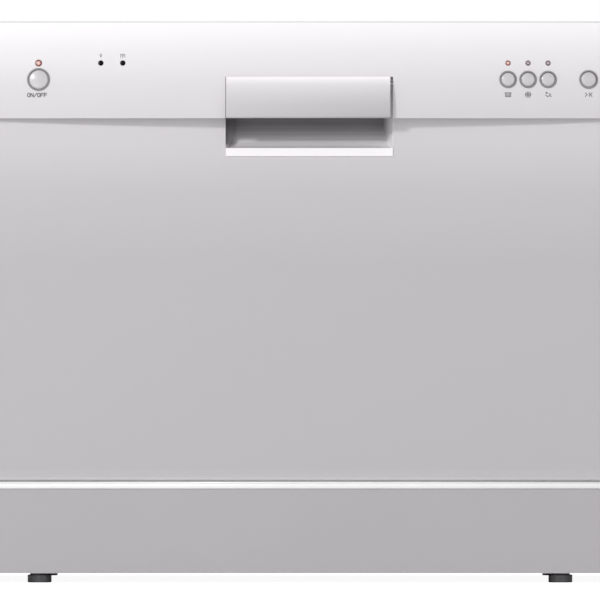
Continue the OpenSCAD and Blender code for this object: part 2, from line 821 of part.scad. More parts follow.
module inlet_connector() {
    bore_r = 8;
    color([0.9, 0.9, 0.88]) difference() {
        union() {
            rod_y(rear_y - 12, rear_y + connector_l, inlet_x, port_z, inlet_r);
            rod_y(rear_y - sheet_t - 5, rear_y - sheet_t, inlet_x, port_z, inlet_r + 5);
            rod_y(rear_y - 2, rear_y, inlet_x, port_z, inlet_r + free_gap - rest_gap);
        }
        rod_y(rear_y - 9, rear_y + connector_l + past, inlet_x, port_z, bore_r);
    }
}

module inlet_valve() {
    body = 22;
    stand_r = 7;
    color([0.88, 0.88, 0.86]) {
        block(inlet_x - body / 2, inlet_x + body / 2, valve_y - 2 * body, valve_y,
            port_z - body / 2, port_z + body / 2);
        rod_z(tray_z, port_z, inlet_x, valve_y - 2 * body + stand_r + 1, stand_r);
        rod_z(port_z, port_z + body / 2 + 16, inlet_x, valve_y - body - 8, 11);
        rod_x(inlet_x - body / 2 - 10, inlet_x, fill_y, port_z, fill_r + 1);
    }
}

module fill_hose() {
    bend_r = 12;
    x0 = inlet_x - 21;
    color([0.2, 0.2, 0.21]) {
        rod_x(bend_r - fill_x, x0, fill_y, port_z, fill_r);
        translate([bend_r - fill_x, fill_y, port_z + bend_r]) rotate([90, 0, 0]) rotate([0, 0, 180])
            rotate_extrude(angle = 90) translate([bend_r, 0]) circle(r = fill_r);
        rod_z(port_z + bend_r, fill_top_z, -fill_x, fill_y, fill_r);
    }
}

module air_break() {
    wide = 126;
    tall = 196;
    thick = side_gap - 4;
    y1 = rear_y - 18;
    color([0.85, 0.86, 0.84]) {
        block(-tub_x - thick, -tub_x, y1 - wide, y1, fill_top_z, fill_top_z + tall);
        for (i = [1:5])
            block(-tub_x - thick - 1, -tub_x - thick + past, y1 - wide + 6, y1 - 6,
                fill_top_z + i * tall / 6 - 1.5, fill_top_z + i * tall / 6 + 1.5);
    }
}

module softener() {
    half = 78;
    tank_y0 = salt_y - 46;
    tank_y1 = salt_y + 40;
    top_z = sump_top_z - 12;
    neck_r = salt_r + 4;
    color([0.8, 0.81, 0.8]) difference() {
        union() {
            block(-half, half, tank_y0, tank_y1, tray_z, top_z);
            rod_z(top_z - past, sump_top_z, salt_x, salt_y, neck_r + 3);
        }
        rod_z(top_z - 30, sump_top_z + past, salt_x, salt_y, neck_r - 2);
    }
}

module salt_cap() {
    grip_h = 9;
    skirt = 22;
    rim_z = low_z + 4;
    color([0.9, 0.9, 0.88]) {
        rod_z(sump_top_z - skirt, rim_z, salt_x, salt_y, salt_r);
        translate([salt_x - salt_r + 5, salt_y - 3, rim_z - past]) cube([2 * salt_r - 10, 6, grip_h + past]);
        for (a = [0:20:340])
            translate([salt_x, salt_y, low_z + 0.6]) rotate(a) translate([salt_r - 1, -1.5, 0]) cube([2, 3, 3]);
    }
}

module power_gland() {
    color([0.15, 0.15, 0.16]) difference() {
        union() {
            rod_y(rear_y - 14, rear_y + 7, gland_x, port_z, gland_r);
            rod_y(rear_y - sheet_t - 4, rear_y - sheet_t, gland_x, port_z, gland_r + 4);
        }
        rod_y(rear_y - 6, rear_y + 7 + past, gland_x, port_z, 3.5);
    }
}

module spray_arm() {
    hub_r = post_r + 8;
    tip_w = 26;
    jet_r = 1.6;
    nut_h = 5;
    bore_r = post_r + bore_gap;
    blade = concat(
        arc(tip_w / 2 - arm_reach, 0, tip_w / 2, 90, 270),
        [[0, -arm_w / 2]], arc(arm_reach - tip_w / 2, 0, tip_w / 2, -90, 90), [[0, arm_w / 2]]);
    color([0.72, 0.74, 0.76]) translate([0, arm_y, 0]) difference() {
        union() {
            along_z(arm_z, arm_z + arm_h - 3) polygon(blade);
            along_z(arm_z + arm_h - 3 - past, arm_z + arm_h) scale([0.97, 0.8, 1]) polygon(blade);
            rod_z(arm_z, arm_z + arm_h + nut_h, 0, 0, hub_r);
        }
        rod_z(arm_z - past, arm_z + arm_h + 0.6, 0, 0, bore_r);
        for (s = [-1, 1], i = [0:4])
            rod_z(arm_z + arm_h - 3, arm_z + arm_h + past, s * (50 + i * 29), s * 4 * (i % 2), jet_r);
        for (a = [0:45:315])
            rotate(a) translate([hub_r - 2, -2, arm_z + arm_h + 1]) cube([4, 4, nut_h]);
    }
}

// ---- Door ----
module outer_door_panel() {
    color([0.76, 0.75, 0.75]) difference() {
        intersection() {
            along_x(-side_x, side_x) polygon(door_section(0));
            along_z(0, body_h) polygon(door_plan(0));
        }
        intersection() {
            along_x(-wall_x, wall_x) polygon(door_section(sheet_t));
            along_z(0, body_h) polygon(door_plan(sheet_t));
        }
        block(-wall_x, wall_x, liner_y - liner_t, liner_y + past,
            door_low_z + sheet_t, fascia_z0 - sheet_t);
        block(fascia_t - side_x, side_x - fascia_t, liner_y - liner_t, liner_y + past,
            fascia_z0 - 2 * sheet_t, fascia_z0 + past);
        block(handle_x0, handle_x1, door_y - past, door_y + 2 * sheet_t, recess_z, fascia_z0 + past);
        block(handle_x0 - cup_wall, handle_x1 + cup_wall, door_y + sheet_t, cup_back_y + cup_wall,
            recess_z, fascia_z0 + past);
        both_sides() block(bracket_x - 1, arm_x + arm_t + 2, hinge_y - 2, liner_y + past,
            door_low_z - past, door_low_z + sheet_t + past);
    }
}

// The raised middle of the liner, moved inwards by g
module liner_plug(g) {
    slope = plug_h + 2;
    corner = 18;
    wide = 2 * plug_x;
    tall = plug_z1 - plug_z0;
    translate([0, 0, (plug_z0 + plug_z1) / 2]) hull() {
        along_y(liner_y - liner_t - (g > 0 ? past : 0), liner_y - g)
            polygon(rounded(wide - 2 * g, tall - 2 * g, corner));
        along_y(liner_y + plug_h - g - past / 2, liner_y + plug_h - g)
            polygon(rounded(wide - 2 * slope - 2 * g, tall - 2 * slope - 2 * g, corner - slope / 2));
    }
}

module inner_door_liner() {
    top_z = fascia_z1 - fascia_t;
    slot_half = claw_w / 2 + 2;
    notch_z = bracket_top_z + 2;
    color([0.8, 0.81, 0.82]) difference() {
        union() {
            block(-wall_x, wall_x, liner_y - liner_t, liner_y, door_low_z + sheet_t, fascia_z0 - sheet_t);
            block(fascia_t + free_gap - side_x, side_x - fascia_t - free_gap, liner_y - liner_t,
                liner_y, fascia_z0 - sheet_t - past, top_z);
            liner_plug(0);
        }
        liner_plug(liner_t);
        block(-dispenser_w / 2, dispenser_w / 2, liner_y - plug_h, liner_y + plug_h + past,
            dispenser_z, dispenser_z + dispenser_h);
        block(handle_x - slot_half, handle_x + slot_half, liner_y - plug_h, liner_y + past,
            tub_z1 + 1, claw_z + claw_swing);
        both_sides() block(bracket_x - 1, arm_x - 0.5, liner_y - plug_h, liner_y + past, 0, notch_z);
    }
}

module door_hinge_arms() {
    back_y = liner_y - liner_t;
    reach = 100;
    flange_w = 9;
    hole_r = 2.2;
    color("silver") both_sides() difference() {
        union() {
            along_x(arm_x, arm_x + arm_t) {
                translate([hinge_y, hinge_z]) circle(r = boss_r);
                polygon([[hinge_y - boss_r + 1, hinge_z], [hinge_y - 4, hinge_z + reach * 0.6],
                    [back_y - 10, hinge_z + reach], [back_y, hinge_z + reach], [back_y, hinge_z + 6],
                    [hinge_y + 5, hinge_z]]);
                translate([hinge_y, hinge_z]) rotate(-tail_angle) {
                    translate([0, -4]) square([tail_l, 8]);
                    translate([tail_l, 0]) circle(r = 4.4);
                }
            }
            block(arm_x + arm_t / 2, arm_x + arm_t + flange_w, back_y - 1.5, back_y,
                hinge_z + 14, hinge_z + reach);
        }
        rod_x(arm_x - past, arm_x + arm_t + past, hinge_y, hinge_z, pin_r + bore_gap);
        rod_x(arm_x - past, arm_x + arm_t + past, spring_y, spring_top_z, hole_r);
    }
}

module door_seal_strip() {
    strip_w = 2 * (tub_in_x - ledge_w) - 6;
    strip_t = 2;
    color([0.3, 0.3, 0.31]) block(-strip_w / 2, strip_w / 2, liner_y, liner_y + strip_t,
        weir_z - 12, weir_z - 2);
}

// The control panel's section, as distance from the bow's axis and height, moved inwards by g
module fascia_section(g) {
    back = axis_y - liner_y;
    intersection() {
        translate([bow_R - face_r, 0]) circle(r = face_r - g, $fn = 256);
        translate([back - 30, g]) square([bow_R - back + 60, fascia_h - 2 * g]);
    }
}
module fascia_turned(g, w, y1) {
    half = asin((half_w + 20) / (bow_R - bow)) ;
    intersection() {
        translate([0, axis_y, fascia_z0]) rotate([0, 0, -90 - half])
            rotate_extrude(angle = 2 * half, $fn = bow_sides * 4) fascia_section(g);
        block(-w, w, bow_y - past, y1, fascia_z0 - past, fascia_z1 + past);
    }
}

module button_hole(x, r) {
    on_face(x, button_row) rotate([90, 0, 0]) translate([0, 0, -guide_l - past])
        cylinder(r = r, h = 2 * guide_l + 2 * past);
}
module lamp_hole(x, r) {
    on_face(x, lamp_row) rotate([90, 0, 0]) translate([0, 0, -4 * fascia_t])
        cylinder(r = r + rest_gap / 2, h = 5 * fascia_t);
}

module control_fascia() {
    post_r0 = 3;
    color("white") difference() {
        union() {
            difference() {
                fascia_turned(0, side_x, liner_y);
                fascia_turned(fascia_t, side_x - fascia_t, liner_y + past);
            }
            for (x = board_posts, z = [fascia_z0 + 14, fascia_z1 - 14])
                rod_y(face_y(x, z - fascia_z0) + fascia_t / 2, board_y - board_t, x, z, post_r0);
        }
        block(handle_x0, handle_x1, bow_y - past, cup_front_y, fascia_z0 - past, handle_z1 + free_gap);
        block(handle_x0 - cup_wall - free_gap, handle_x1 + cup_wall + free_gap,
            cup_front_y - free_gap, cup_back_y + cup_wall + free_gap, fascia_z0 - past, handle_z1 + free_gap);
        block(fascia_t + rest_gap - side_x, side_x - fascia_t - rest_gap, liner_y - liner_t,
            liner_y + past, fascia_z0 - past, fascia_z0 + fascia_t + past);
        button_hole(power_x, power_r);
        for (x = program_xs)
            button_hole(x, program_r);
        button_hole(start_x, start_r);
        lamp_hole(power_x, power_lamp_r);
        for (x = concat(program_xs, warning_xs))
            lamp_hole(x, lamp_r);
    }
}

module control_boards() {
    low = fascia_z0 + 6;
    high = fascia_z1 - 6;
    switch_w = 6;
    color([0.1, 0.35, 0.2]) {
        block(board_posts[0] - 6, board_posts[1] + 6, board_y - board_t, board_y, low, high);
        block(board_posts[2] - 6, board_posts[3] + 6, board_y - board_t, board_y, low, high);
        for (x = concat([power_x, start_x], program_xs))
            block(x - switch_w / 2, x + switch_w / 2, board_y - board_t - switch_t, board_y - board_t / 2,
                fascia_z0 + button_row - switch_w / 2 - 3, fascia_z0 + button_row + switch_w / 2 - 3);
        block(-190, -130, board_y - board_t / 2, board_y + 12, low + 8, high - 8);
    }
}

module bezel(x, r) {
    on_face(x, button_row) rotate([90, 0, 0]) difference() {
        union() {
            translate([0, 0, -guide_l]) cylinder(r = r, h = guide_l + 0.4);
            cylinder(r1 = r, r2 = r - bezel_t / 2, h = 1);
        }
        translate([0, 0, -guide_l - past]) cylinder(r = r - bezel_t, h = guide_l + 3 * past);
    }
}
module button_bezels() {
    color([0.62, 0.62, 0.63]) {
        bezel(power_x, power_r);
        for (x = program_xs)
            bezel(x, program_r);
        bezel(start_x, start_r);
    }
}

// A button's cap and the stem that reaches its switch
module button(x, r) {
    stem_l = board_y - board_t - switch_t - face_y(x, button_row) - button_travel - rest_gap;
    cap_l = 5;
    edge = 0.5;
    on_face(x, button_row) rotate([90, 0, 0]) {
        translate([0, 0, cap_proud - cap_l]) cylinder(r = r - bezel_t - cap_gap, h = cap_l - edge);
        translate([0, 0, cap_proud - edge])
            cylinder(r1 = r - bezel_t - cap_gap, r2 = r - bezel_t - cap_gap - edge, h = edge);
        translate([0, 0, -stem_l]) cylinder(r = stem_r, h = stem_l);
    }
}
module power_button() {
    color([0.8, 0.8, 0.81]) button(power_x, power_r);
}
module program_button_1() {
    color([0.8, 0.8, 0.81]) button(program_xs[0], program_r);
}
module program_button_2() {
    color([0.8, 0.8, 0.81]) button(program_xs[1], program_r);
}
module program_button_3() {
    color([0.8, 0.8, 0.81]) button(program_xs[2], program_r);
}
module start_button() {
    color([0.8, 0.8, 0.81]) button(start_x, start_r);
}

module lamp(x, r) {
    on_face(x, lamp_row) rotate([90, 0, 0]) translate([0, 0, -4]) cylinder(r = r, h = 4.3);
}
module indicator_lenses() {
    color([0.75, 0.3, 0.2]) {
        lamp(power_x, power_lamp_r);
        for (x = program_xs)
            lamp(x, lamp_r);
    }
    color("black")
        for (x = warning_xs)
            lamp(x, lamp_r);
}

// The finger recess: its floor sweeps back and up behind the handle plate
module handle_cup() {
    x0 = handle_x0;
    x1 = handle_x1;
    r = cup_back_y - door_y;
    lip_z = recess_z + lip_h;
    roof_z = handle_z1 - cup_wall;
    lip_y = door_y - 1;
    color([0.95, 0.95, 0.95]) difference() {
        union() {
            block(x0 - cup_wall, x1 + cup_wall, door_y + sheet_t, cup_back_y + cup_wall,
                recess_z, roof_z + cup_wall);
            block(x0 - cup_wall, x1 + cup_wall, cup_front_y, door_y + 2 * sheet_t,
                fascia_z0 + free_gap, roof_z + cup_wall);
            block(x0 + rest_gap, x1 - rest_gap, lip_y, door_y + 2 * sheet_t, recess_z + rest_gap, lip_z);
        }
        intersection() {
            along_x(x0, x1) polygon(concat(
                [[bow_y - past, lip_z], [door_y, lip_z]],
                arc(door_y, lip_z + r, r, 270, 360),
                [[cup_back_y, roof_z], [bow_y - past, roof_z]]));
            along_z(recess_z, roof_z + past) polygon([[x0, bow_y - 2 * past], [x1, bow_y - 2 * past],
                [x1, door_y], [x1 - recess_taper, cup_back_y + past], [x0 + recess_taper, cup_back_y + past],
                [x0, door_y]]);
        }
        along_x(x0 - cup_wall - past, x1 + cup_wall + past) polygon(concat(
            [[cup_back_y + cup_wall + past, recess_z - past], [door_y + r / 2, recess_z - past]],
            arc(door_y, lip_z + r, r + cup_wall, 292, 360),
            [[cup_back_y + cup_wall + past, lip_z + r]]));
        rod_x(x0, x1, handle_axis_y, handle_axis_z, handle_boss_r + free_gap);
        rod_x(x0 - cup_wall - past, x1 + cup_wall + past, handle_axis_y, handle_axis_z, handle_pin_r);
    }
}

module handle_pin() {
    color("silver") rod_x(handle_x0 - cup_wall, handle_x1 + cup_wall, handle_axis_y, handle_axis_z, handle_pin_r);
}

module handle_plate() {
    x0 = handle_x0 + free_gap;
    x1 = handle_x1 - handle_side_gap;
    curve_z = fascia_z0 + 8;
    cheek_t = 3;
    foot_r = 1.6;
    boss_top_z = handle_axis_z + handle_boss_r;
    inner_r = handle_curve_r - handle_t;
    under_z = handle_axis_z - 2;
    a = asin((boss_top_z - handle_top_fall - curve_z) / handle_curve_r);
    b = asin((under_z - curve_z) / inner_r);
    cy = handle_y + handle_curve_r;
    outer = concat([[handle_axis_y, boss_top_z]],
        arc(cy, curve_z, handle_curve_r, 180 - a, 180),
        arc(handle_y + foot_r, fascia_z0 + foot_r, foot_r, 180, 270, 4));
    inner = concat(
        [[handle_y + handle_t, fascia_z0]],
        arc(cy, curve_z, inner_r, 180, 180 - b));
    color([0.93, 0.93, 0.93]) difference() {
        union() {
            along_x(x0, x1) polygon(concat(outer, inner, [[handle_axis_y, under_z]]));
            for (x = [x0, x1 - cheek_t])
                along_x(x, x + cheek_t) polygon(concat(outer,
                    [[bow_y + 3, fascia_z0], [handle_axis_y + 4, handle_axis_z]]));
            rod_x(x0, x1, handle_axis_y, handle_axis_z, handle_boss_r);
        }
        rod_x(x0 - past, x1 + past, handle_axis_y, handle_axis_z, handle_pin_r + bore_gap);
    }
}

module latch_housing() {
    half = 24;
    z0 = handle_z1 + cup_wall + 2;
    z1 = fascia_z1 - fascia_t - 1;
    y0 = claw_y - 13;
    y1 = liner_y - liner_t;
    slot = claw_w / 2 + 1;
    color([0.2, 0.2, 0.21]) difference() {
        union() {
            block(handle_x - half, handle_x + half, y0, y1, z0, z1);
            block(handle_x + half - past, handle_x + half + 12, y1 - 10, y1, z0 + 8, z1 - 6);
        }
        block(handle_x - slot, handle_x + slot, y0 - past, y1 + past, z0 - past, z1 - 2);
    }
    color("silver") rod_x(handle_x - half + past, handle_x + half - past, claw_y, claw_z, claw_pin_r);
}

module latch_claw() {
    half = claw_w / 2;
    boss = 5.5;
    hook_y0 = strike_y + strike_r + 0.5;
    hook_y1 = hook_y0 + 5;
    arm_low = claw_z - 7 + strike_r + 0.6;
    hook_low = arm_low - 6;
    color([0.85, 0.85, 0.82]) difference() {
        union() {
            rod_x(handle_x - half, handle_x + half, claw_y, claw_z, boss);
            along_x(handle_x - half, handle_x + half) polygon([
                [claw_y, claw_z + boss - 0.5], [hook_y1 - 3, claw_z + 2], [hook_y1, claw_z - 1.5],
                [hook_y1, arm_low], [hook_y0 + 3.5, hook_low], [hook_y0, hook_low], [hook_y0, arm_low],
                [claw_y, arm_low]]);
        }
        rod_x(handle_x - half - past, handle_x + half + past, claw_y, claw_z, claw_pin_r + bore_gap);
    }
}

module dispenser() {
    x1 = dispenser_w / 2;
    z1 = dispenser_z + dispenser_h;
    face = liner_y + plug_h + dispenser_proud;
    deep = liner_y - 20;
    cup_z = dispenser_z + (dispenser_h - cup_h) / 2;
    cap_z = dispenser_z + dispenser_h / 2;
    rail = 1.2;
    color([0.6, 0.62, 0.64]) difference() {
        union() {
            block(-x1, x1, deep, face, dispenser_z, z1);
            block(-x1 - 3, x1 + 3, liner_y + plug_h, face - 1, dispenser_z - 3, z1 + 3);
            for (z = [cup_z - 6, cup_z + cup_h + 6 - rail])
                block(cup_x - cup_w / 2 - 3, cup_x + cup_w / 2 + cup_w + 4, face - past, face + 2, z, z + rail);
        }
        block(cup_x - cup_w / 2, cup_x + cup_w / 2, face - cup_deep, face + past, cup_z, cup_z + cup_h);
        rod_y(face - 14, face + past, cap_x, cap_z, cap_r - 2);
        rod_y(face - 2, face + past, cap_x, cap_z, cap_r + free_gap);
    }
}

module dispenser_lid() {
    face = liner_y + plug_h + dispenser_proud;
    cup_z = dispenser_z + (dispenser_h - cup_h) / 2;
    x0 = cup_x - cup_w / 2 - 2;
    x1 = cup_x + cup_w / 2 + 2;
    z0 = cup_z - 6 + 1.2 + free_gap;
    z1 = cup_z + cup_h + 6 - 1.2 - free_gap;
    color([0.55, 0.6, 0.66]) {
        block(x0, x1, face + 0.3, face + 2, z0, z1);
        for (i = [0:3])
            block(x1 - 6 - i * 4, x1 - 4 - i * 4, face + 1, face + 3.2, z0 + 18, z1 - 18);
    }
}

module rinse_aid_cap() {
    face = liner_y + plug_h + dispenser_proud;
    cap_z = dispenser_z + dispenser_h / 2;
    color([0.3, 0.45, 0.6]) {
        rod_y(face - 1.6, face + 1.2, cap_x, cap_z, cap_r);
        translate([cap_x, face + 1, cap_z]) rotate([0, 45, 0]) translate([-cap_r + 3, 0, -1.8])
            cube([2 * cap_r - 6, 2.6, 3.6]);
        rod_y(face - 9, face, cap_x, cap_z, cap_r - 3);
    }
}

// ---- Rack ----
// A point on the rack's side, front or back wall at height share s, 0 at the grid and 1 at the rim
function rack_x(s) = rack_low_x + (rack_high_x - rack_low_x) * s;
function rack_y0(s) = rack_front_y + (rack_lip_y - rack_front_y) * s;
function rack_y1(s) = rack_back_y + (rack_back_top_y - rack_back_y) * s;

// A closed hoop around the rack's basket, with round corners
module rack_hoop(s, r) {
    x = rack_x(s) - rack_bend_r;
    y0 = rack_y0(s) + rack_bend_r;
    y1 = rack_y1(s) - rack_bend_r;
    z = rack_z + rack_h * s;
    rod_x(-x, x, rack_y0(s), z, r, $fn = hoop_sides);
    rod_x(-x, x, rack_y1(s), z, r, $fn = hoop_sides);
    for (side = [-1, 1])
        rod_y(y0, y1, side * (x + rack_bend_r), z, r, $fn = hoop_sides);
    for (c = [[x, y1, 0], [-x, y1, 90], [-x, y0, 180], [x, y0, 270]])
        translate([c[0], c[1], z]) rotate([0, 0, c[2]])
            rotate_extrude(angle = 90, $fn = 2 * hoop_sides) translate([rack_bend_r, 0]) circle(r = r, $fn = hoop_sides);
}

// The two eyes that the cup shelf turns in, each on a cross wire
module shelf_hooks() {
    hook_w = 8;
    hook_r = grid_wire_r + 2.2;
    for (i = hook_wires)
        let (y = cross_y0 + cross_pitch * i) difference() {
            union() {
                rod_y(y - hook_w / 2, y + hook_w / 2, shelf_hinge_x, shelf_hinge_z, hook_r);
                block(shelf_hinge_x - 10, shelf_hinge_x - 2.6, y - 3, y + 3, shelf_hinge_z - 2.4, shelf_hinge_z + 0.6);
            }
            rod_y(y - hook_w, y + hook_w, shelf_hinge_x, shelf_hinge_z, grid_wire_r + bore_gap);
        }
}

module dish_rack() {
    span_x = 2 * rack_low_x - 40;
    carrier_w = 10;
    color([0.82, 0.83, 0.85]) {
        rack_hoop(0, frame_wire_r);
        rack_hoop(0.55, grid_wire_r);
        rack_hoop(1, frame_wire_r);
        for (i = [0:cross_wires - 1]) {
            y = cross_y0 + cross_pitch * i;
            bent_wire([[-rack_x(1), y, rack_top_z], [-rack_x(0), y, rack_z], [rack_x(0), y, rack_z],
                [rack_x(1), y, rack_top_z]], grid_wire_r);
        }
        for (i = [0:long_wires - 1]) {
            x = -rack_low_x + 20 + span_x * i / (long_wires - 1);
            z = rack_z + wire_lift;
            bent_wire([[x, rack_y0(1), rack_top_z], [x, rack_y0(0), z], [x, rack_y1(0), z],
                [x, rack_y1(1), rack_top_z]], grid_wire_r);
        }
        for (y = tine_ys) {
            z = rack_z + 2 * wire_lift;
            wire([tine_x0 - 12, y, z], [tine_x0 + plate_slots * tine_pitch + 12, y, z], grid_wire_r);
            for (i = [0:plate_slots])
                wire([tine_x0 + i * tine_pitch, y, z], [tine_x0 + i * tine_pitch, y - 6, z + tine_h], grid_wire_r);
        }
    }
    color([0.3, 0.31, 0.33]) shelf_hooks();
    color([0.3, 0.31, 0.33]) both_sides()
        for (y = [front_wheel_y, rear_wheel_y]) {
            block(rack_low_x - 3, rack_low_x + 4, y - carrier_w, y + carrier_w,
                wheel_z - 6, rack_z + frame_wire_r + 1.5);
            rod_x(rack_low_x, wheel_x + wheel_w / 2 + 2, y, wheel_z, axle_r);
            rod_x(wheel_x + wheel_w / 2 + 0.6, wheel_x + wheel_w / 2 + 2, y, wheel_z, axle_r + 2);
        }
}

// A wheel on its axle, with a hollow face and five openings
module rack_wheel(x, y) {
    rim = 3;
    web = 3;
    color([0.75, 0.76, 0.78]) translate([x, y, wheel_z]) rotate([0, 90, 0]) difference() {
        cylinder(r = wheel_r, h = wheel_w, center = true);
        for (s = [-1, 1])
            translate([0, 0, s * (wheel_w + web) / 4 + s * past / 2]) difference() {
                cylinder(r = wheel_r - rim, h = (wheel_w - web) / 2 + past, center = true);
                cylinder(r = axle_r + 2.4, h = wheel_w, center = true);
            }
        cylinder(r = axle_r + bore_gap, h = wheel_w + 2 * past, center = true);
        for (i = [0:4])
            rotate(i * 72) translate([wheel_r * 0.56, 0, 0]) cylinder(r = 2, h = wheel_w, center = true);
    }
}
module front_left_wheel() {
    rack_wheel(-wheel_x, front_wheel_y);
}
module front_right_wheel() {
    rack_wheel(wheel_x, front_wheel_y);
}
module rear_left_wheel() {
    rack_wheel(-wheel_x, rear_wheel_y);
}
module rear_right_wheel() {
    rack_wheel(wheel_x, rear_wheel_y);
}

module cup_shelf() {
    edge_x = shelf_hinge_x + shelf_w;
    color([0.82, 0.83, 0.85]) {
        rod_y(shelf_y0, shelf_y1, shelf_hinge_x, shelf_hinge_z, grid_wire_r);
        for (i = [0:hook_wires[1] - 1], k = [0.25, 0.75])
            let (y = cross_y0 + (i + k) * cross_pitch)
                bent_wire([[shelf_hinge_x, y, shelf_hinge_z], [edge_x, y, shelf_hinge_z],
                    [edge_x + 6, y, shelf_hinge_z + 10]], grid_wire_r);
        for (x = [shelf_hinge_x + shelf_w / 2, edge_x])
            wire([x, shelf_y0, shelf_hinge_z], [x, shelf_y1, shelf_hinge_z], grid_wire_r);
        wire([edge_x + 6, shelf_y0, shelf_hinge_z + 10], [edge_x + 6, shelf_y1, shelf_hinge_z + 10], grid_wire_r);
    }
}

module cutlery_basket() {
    wall = 2;
    z0 = rack_z + wire_lift + grid_wire_r + rest_gap;
    x1 = basket_x0 + basket_w;
    y1 = basket_y0 + basket_l;
    cells = 3;
    color([0.55, 0.57, 0.6]) difference() {
        union() {
            difference() {
                block(basket_x0, x1, basket_y0, y1, z0, z0 + basket_h - 22);
                block(basket_x0 + wall, x1 - wall, basket_y0 + wall, y1 - wall, z0 + wall, z0 + basket_h);
            }
            for (i = [1:cells - 1])
                block(basket_x0 + wall / 2, x1 - wall / 2, basket_y0 + i * basket_l / cells - wall / 2,
                    basket_y0 + i * basket_l / cells + wall / 2, z0 + wall / 2, z0 + basket_h - 30);
            block((basket_x0 + x1) / 2 - 1.5, (basket_x0 + x1) / 2 + 1.5, basket_y0 + basket_l / cells,
                y1 - basket_l / cells, z0 + wall, z0 + basket_h);
        }
        block((basket_x0 + x1) / 2 - 3, (basket_x0 + x1) / 2 + 3, basket_y0 + basket_l / cells + 8,
            y1 - basket_l / cells - 8, z0 + basket_h - 24, z0 + basket_h - 8);
        for (i = [0:cells - 1], k = [0:3], m = [0:2])
            block(basket_x0 - past, x1 + past, basket_y0 + i * basket_l / cells + 7 + k * 10,
                basket_y0 + i * basket_l / cells + 13 + k * 10, z0 + 8 + m * 24, z0 + 26 + m * 24);
    }
}

base_tray();
kick_panel();
plinth_trim();
front_rail();
top_panel();
left_side_panel();
right_side_panel();
rear_panel();
cabinet_screws();
rubber_feet();
tub();
tub_seal();
hinge_brackets();
door_springs();
door_strike();
sump();
spray_post();
coarse_filter();
wash_pump();
water_heater();
drain_pump();
drain_hose();
drain_connector();
inlet_valve();
inlet_connector();
fill_hose();
air_break();
softener();
power_gland();
outer_door_panel();
inner_door_liner();
door_hinge_arms();
door_seal_strip();
control_fascia();
control_boards();
button_bezels();
indicator_lenses();
handle_cup();
handle_pin();
latch_housing();
dispenser();
handle_plate();
latch_claw();
power_button();
program_button_1();
program_button_2();
program_button_3();
start_button();
dispenser_lid();
rinse_aid_cap();
salt_cap();
fine_filter();
spray_arm();
dish_rack();
cup_shelf();
cutlery_basket();
front_left_wheel();
front_right_wheel();
rear_left_wheel();
rear_right_wheel();
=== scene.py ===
# Countertop dishwasher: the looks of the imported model, in metres, in the model's own frame.
import json
import math

import bmesh
import bpy
from mathutils import Matrix, Vector

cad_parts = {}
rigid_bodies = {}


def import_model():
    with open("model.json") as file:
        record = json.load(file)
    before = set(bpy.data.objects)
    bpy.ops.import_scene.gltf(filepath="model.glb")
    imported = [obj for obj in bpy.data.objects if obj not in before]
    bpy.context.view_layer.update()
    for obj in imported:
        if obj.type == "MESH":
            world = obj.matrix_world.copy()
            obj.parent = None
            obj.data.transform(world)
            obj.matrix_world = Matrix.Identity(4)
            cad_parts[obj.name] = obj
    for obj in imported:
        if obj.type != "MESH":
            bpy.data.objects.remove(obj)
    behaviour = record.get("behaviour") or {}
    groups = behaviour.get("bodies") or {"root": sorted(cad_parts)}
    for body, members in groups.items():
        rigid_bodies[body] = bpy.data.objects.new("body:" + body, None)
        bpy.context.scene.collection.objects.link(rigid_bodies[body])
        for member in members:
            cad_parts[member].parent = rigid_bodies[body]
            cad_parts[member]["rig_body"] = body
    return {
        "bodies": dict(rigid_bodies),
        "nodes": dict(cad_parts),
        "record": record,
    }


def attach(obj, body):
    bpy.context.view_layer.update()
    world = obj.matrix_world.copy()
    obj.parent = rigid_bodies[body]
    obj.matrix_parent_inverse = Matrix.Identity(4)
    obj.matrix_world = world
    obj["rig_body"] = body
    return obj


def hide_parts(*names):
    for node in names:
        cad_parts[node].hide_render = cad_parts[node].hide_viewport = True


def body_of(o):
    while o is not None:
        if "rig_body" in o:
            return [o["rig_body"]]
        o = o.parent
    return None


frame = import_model()
BODIES, NODES = frame["bodies"], frame["nodes"]
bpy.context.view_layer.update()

# ---- Camera: level, far off with a long lens, so that it shows hardly any perspective
PIXELS, PIXEL = 600, 0.0007787  # the picture's side, and metres on the front's plane in one pixel of it
LENS, SENSOR = 1200.0, 36.0
VIEW_W = PIXELS * PIXEL
FRONT_Y, MIDDLE_Z = -0.236, 283 * PIXEL
cam_data = bpy.data.cameras.new("camera")
cam_data.lens, cam_data.sensor_width = LENS, SENSOR
cam_data.clip_start, cam_data.clip_end = 0.05, 200.0
camera = bpy.data.objects.new("camera", cam_data)
camera.location = (0.0, FRONT_Y - VIEW_W * LENS / SENSOR, MIDDLE_Z)
camera.rotation_euler = (math.radians(90), 0, 0)
bpy.context.scene.collection.objects.link(camera)
bpy.context.scene.camera = camera
bpy.context.scene.view_settings.view_transform = "Standard"


# ---- Shader helpers
def linear(grey_or_rgb):
    """A colour as it is read off a screen, 0 to 255, as the numbers that a shader takes."""
    rgb = grey_or_rgb if isinstance(grey_or_rgb, (tuple, list)) else (grey_or_rgb,) * 3
    out = []
    for v in rgb:
        v /= 255
        out.append(v / 12.92 if v <= 0.04045 else ((v + 0.055) / 1.055) ** 2.4)
    return (*out, 1.0)


def neutral(v):
    """The photo's own neutral at one level: a trace less green."""
    return (v, v - 3, v)


